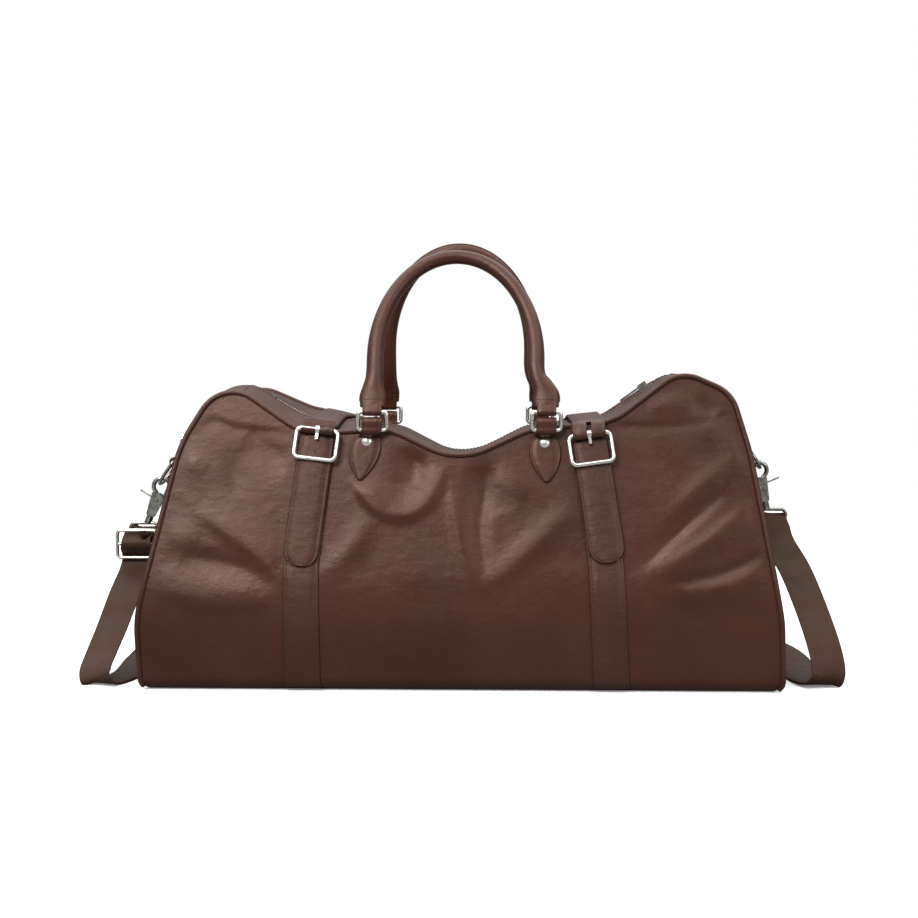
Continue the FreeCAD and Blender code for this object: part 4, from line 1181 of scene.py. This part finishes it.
def add_handle_wrap(end, side, lines):
    """The narrow loop that holds the handle to the ring's upper bar, and the seam across the flat end."""
    bar = RING_Z + RING_HEIGHT
    inner = RING_WIRE + 0.12
    angles = np.linspace(0, -math.pi, 13)
    path = np.vstack([np.column_stack([np.full(6, inner), np.linspace(bar + 9, bar + 2, 6)]),
                      np.column_stack([inner * np.cos(angles), bar + inner * np.sin(angles)]),
                      np.column_stack([np.full(6, -inner), np.linspace(bar + 2, bar + 9, 6)])])
    path = resample(path, 50)
    flat = strip(RING_X[side], path, np.full(len(path), HANDLE_LOOP_HALF), end)[::-1]
    piece, _, _ = strap_solid(end + "_" + side + "_handle_fold", lean_handle(flat, end), 1.3, BODY_LEATHER,
                              end + "_handle")
    share = np.linspace(-0.88, 0.88, 12)
    wide, deep, high = HANDLE_SEAM
    for face in (-1, 1):
        depth = face * np.sqrt(1 - share ** 2)
        seam = np.column_stack([RING_X[side] + wide * share, deep * depth, np.full(12, bar + high)])
        outward = normalised(np.column_stack([share / wide, depth / deep, np.zeros(12)]))
        placed = lean_handle(seam, end)
        lines.append((placed, lean_handle(seam + outward, end) - placed))


for end in ("front", "rear"):
    add_handle(end)


# --- shoulder strap
SHOULDER_WIDTH = 29.0
SHOULDER = 2.5
EYE_WIRE = 1.6
FLOOR = 1.35


def middle(node, axis):
    low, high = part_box(node)
    return (low[axis] + high[axis]) / 2 / METRES


def shoulder_stations():
    """Centre points and width directions of the strap, from the left eye round to the right one."""
    low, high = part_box("strap_adjuster")
    ax, fy = middle("strap_adjuster", 0), middle("strap_adjuster", 1)
    top, bottom = high.z / METRES - 1.7, low.z / METRES + 1.7
    centre = (top + bottom) / 2
    weave = 3.8
    bars = {}
    for side in ("left", "right"):
        low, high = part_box(side + "_hook_eye")
        bars[side] = (middle(side + "_hook_eye", 0), middle(side + "_hook_eye", 1), low.z / METRES + EYE_WIRE)
    lx, ly, lz = bars["left"]
    rx, ry, rz = bars["right"]
    wrap = EYE_WIRE + 1.6
    along = (1, 0, 0)
    back = (-1, 0, 0)
    return [
        ((lx - 2, ly + 2.2, lz - 14), along),
        ((lx - 1, ly + wrap, lz - 3), along),
        ((lx, ly, lz + wrap), along),
        ((lx - 2, ly - wrap, lz - 1), along),
        ((ax, fy + weave - 1, top - 3.5), along),
        ((ax, fy - weave + 0.6, centre + 3), along),
        ((ax, fy - weave + 0.6, centre - 3), along),
        ((ax, fy + weave, bottom + 1), along),
        ((ax - 1, fy + weave - 5, bottom - 10), along),
        ((ax - 4, -32, 70), (1, -0.03, 0.05)),
        ((ax - 9, -58, 44), (1, -0.08, 0.08)),
        ((ax - 13, -82, 24), (1, -0.15, 0.1)),
        ((ax - 14, -98, 13), (1, -0.25, 0.1)),
        ((ax - 11, -103, 5.5), (1, -0.3, 0.05)),
        ((ax - 6, -96, FLOOR + 0.5), (1, -0.4, 0)),
        ((ax + 1, -78, FLOOR), (1, -0.35, 0)),
        ((-296, -50, FLOOR), (1, 0, 0)),
        ((-301, 10, FLOOR), (1, 0.08, 0)),
        ((-302, 90, FLOOR), (1, -0.1, 0)),
        ((-280, 148, FLOOR), (0.9, -0.6, 0)),
        ((-225, 174, FLOOR), (0.15, -1, 0)),
        ((-120, 168, FLOOR), (-0.08, -1, 0)),
        ((0, 158, FLOOR), (0, -1, 0)),
        ((120, 166, FLOOR), (0.08, -1, 0)),
        ((222, 172, FLOOR), (-0.15, -1, 0)),
        ((276, 146, FLOOR), (-0.9, -0.6, 0)),
        ((300, 90, FLOOR), (-1, -0.1, 0)),
        ((306, 20, FLOOR), back),
        ((297, -45, FLOOR), (-1, 0.1, 0)),
        ((299, -76, FLOOR + 0.6), (-1, -0.1, 0)),
        ((306, -96, FLOOR + 3), (-1, -0.2, 0.05)),
        ((311, -98, 14), (-1, -0.1, 0.1)),
        ((310, -84, 33), (-1, 0, 0.1)),
        ((304, -58, 62), (-1, 0, 0.08)),
        ((295, -32, 92), (-1, 0, 0.05)),
        ((rx + 3, -12, rz - 20), back),
        ((rx, ry - wrap, rz - 1), back),
        ((rx, ry, rz + wrap), back),
        ((rx, ry + wrap, rz - 3), back),
        ((rx + 2, ry - 5, rz - 22), back),
    ]


def add_shoulder_strap():
    stations = shoulder_stations()
    centres = spline([centre for centre, _ in stations], 12)
    across = normalised(spline([normalised(np.array(a, float)) for _, a in stations], 12))
    along = lengths(centres)
    from_end = np.minimum(along, along[-1] - along)
    half = np.interp(from_end, (0, 4, 26, 44), (11.0, 11.4, 11.4, SHOULDER_WIDTH / 2))
    tangent = normalised(np.gradient(centres, axis=0))
    across = normalised(across - tangent * np.sum(across * tangent, axis=1, keepdims=True))
    normal = np.cross(across, tangent)
    under = (centres[:, None] - normal[:, None] * (SHOULDER / 2)
             + across[:, None] * COLUMNS[None, :, None] * half[:, None, None])
    piece, over, normals = strap_solid("shoulder_strap_leather", under, SHOULDER, SHOULDER_LEATHER, "bag")
    for vertex in piece.data.vertices:
        vertex.co.z = max(vertex.co.z, 0.00005)
    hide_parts("shoulder_strap")
    for name, line in zip(("shoulder_stitches", "shoulder_stitches_2"), stitch_pair(over, normals, 30, -30)):
        add_stitches(name, [line], THREAD_AND_HOLE_SHADE, "bag")


add_shoulder_strap()

# --- finishes of the carried-over parts
FINISHES = {
    "leather": BODY_LEATHER, "strap_leather": STRAP_LEATHER, "piping_leather": PIPING_LEATHER,
    "shoulder_leather": SHOULDER_LEATHER, "lining_fabric": LINING_CLOTH, "zip_tape": TAPE, "rope": ROPE,
    "board": BOARD, "zip_metal": ZIP_METAL, "nickel": NICKEL, "antique_nickel": ANTIQUE,
}
for part in frame["record"]["subparts"]:
    node = frame["nodes"][part["node"]]
    node.data.materials.clear()
    node.data.materials.append(FINISHES[part["material_slot"]])


# --- floor, light and background
def show_camera(tree, seen, unseen, output):
    """Send one shader to the camera and another to the reflections and the light on the bag."""
    path = tree.nodes.new("ShaderNodeLightPath")
    choice = tree.nodes.new("ShaderNodeMixShader")
    tree.links.new(path.outputs["Is Camera Ray"], choice.inputs[0])
    tree.links.new(unseen.outputs[0], choice.inputs[1])
    tree.links.new(seen.outputs[0], choice.inputs[2])
    tree.links.new(choice.outputs[0], output.inputs["Surface"])


def add_floor():
    """A floor that is pale to the camera, and grey to the light that it sends back to the bag."""
    size = 1.5
    mesh = bpy.data.meshes.new("floor")
    mesh.from_pydata([(-size, -size, 0), (size, -size, 0), (size, size, 0), (-size, size, 0)], [],
                     [(0, 1, 2, 3)])
    floor = bpy.data.objects.new("floor", mesh)
    bpy.context.collection.objects.link(floor)
    m = Nodes("floor")
    m.link(m.mix(m.noise(3, 2), (0.88, 0.88, 0.88), (0.91, 0.91, 0.91)), m.shader.inputs["Base Color"])
    m.set(Roughness=0.9, Specular_IOR_Level=0.1, Emission_Color=(1, 1, 1, 1), Emission_Strength=0.18)
    tree = m.material.node_tree
    grey = tree.nodes.new("ShaderNodeBsdfDiffuse")
    grey.inputs["Color"].default_value = (0.25, 0.25, 0.25, 1)
    output = next(node for node in tree.nodes if node.type == "OUTPUT_MATERIAL")
    show_camera(tree, m.shader, grey, output)
    floor.data.materials.append(m.material)


def add_light(name, place, target, size, power):
    data = bpy.data.lights.new(name, "AREA")
    data.shape = "RECTANGLE"
    data.size = data.size_y = size
    data.energy = power
    light = bpy.data.objects.new(name, data)
    bpy.context.collection.objects.link(light)
    light.location = place
    light.rotation_euler = (Vector(target) - Vector(place)).to_track_quat("-Z", "Y").to_euler()


def add_world():
    """White behind the bag to the camera, and a dimmer grey light around it."""
    world = bpy.data.worlds.new("studio")
    bpy.context.scene.world = world
    world.use_nodes = True
    tree = world.node_tree
    seen = tree.nodes["Background"]
    seen.inputs["Color"].default_value = (1, 1, 1, 1)
    seen.inputs["Strength"].default_value = 1.0
    glow = tree.nodes.new("ShaderNodeBackground")
    glow.inputs["Color"].default_value = (1, 1, 1, 1)
    glow.inputs["Strength"].default_value = 0.30
    show_camera(tree, seen, glow, tree.nodes["World Output"])


add_floor()
add_world()
add_light("overhead", (0.0, 0.1, 2.3), (0, 0, 0), 5.0, 185)
add_light("key", (-0.9, -1.7, 1.6), (0, 0, 0.15), 1.1, 44)
add_light("fill", (1.5, -1.4, 0.9), (0, 0, 0.15), 0.9, 10)
bpy.context.scene.view_settings.view_transform = "Standard"
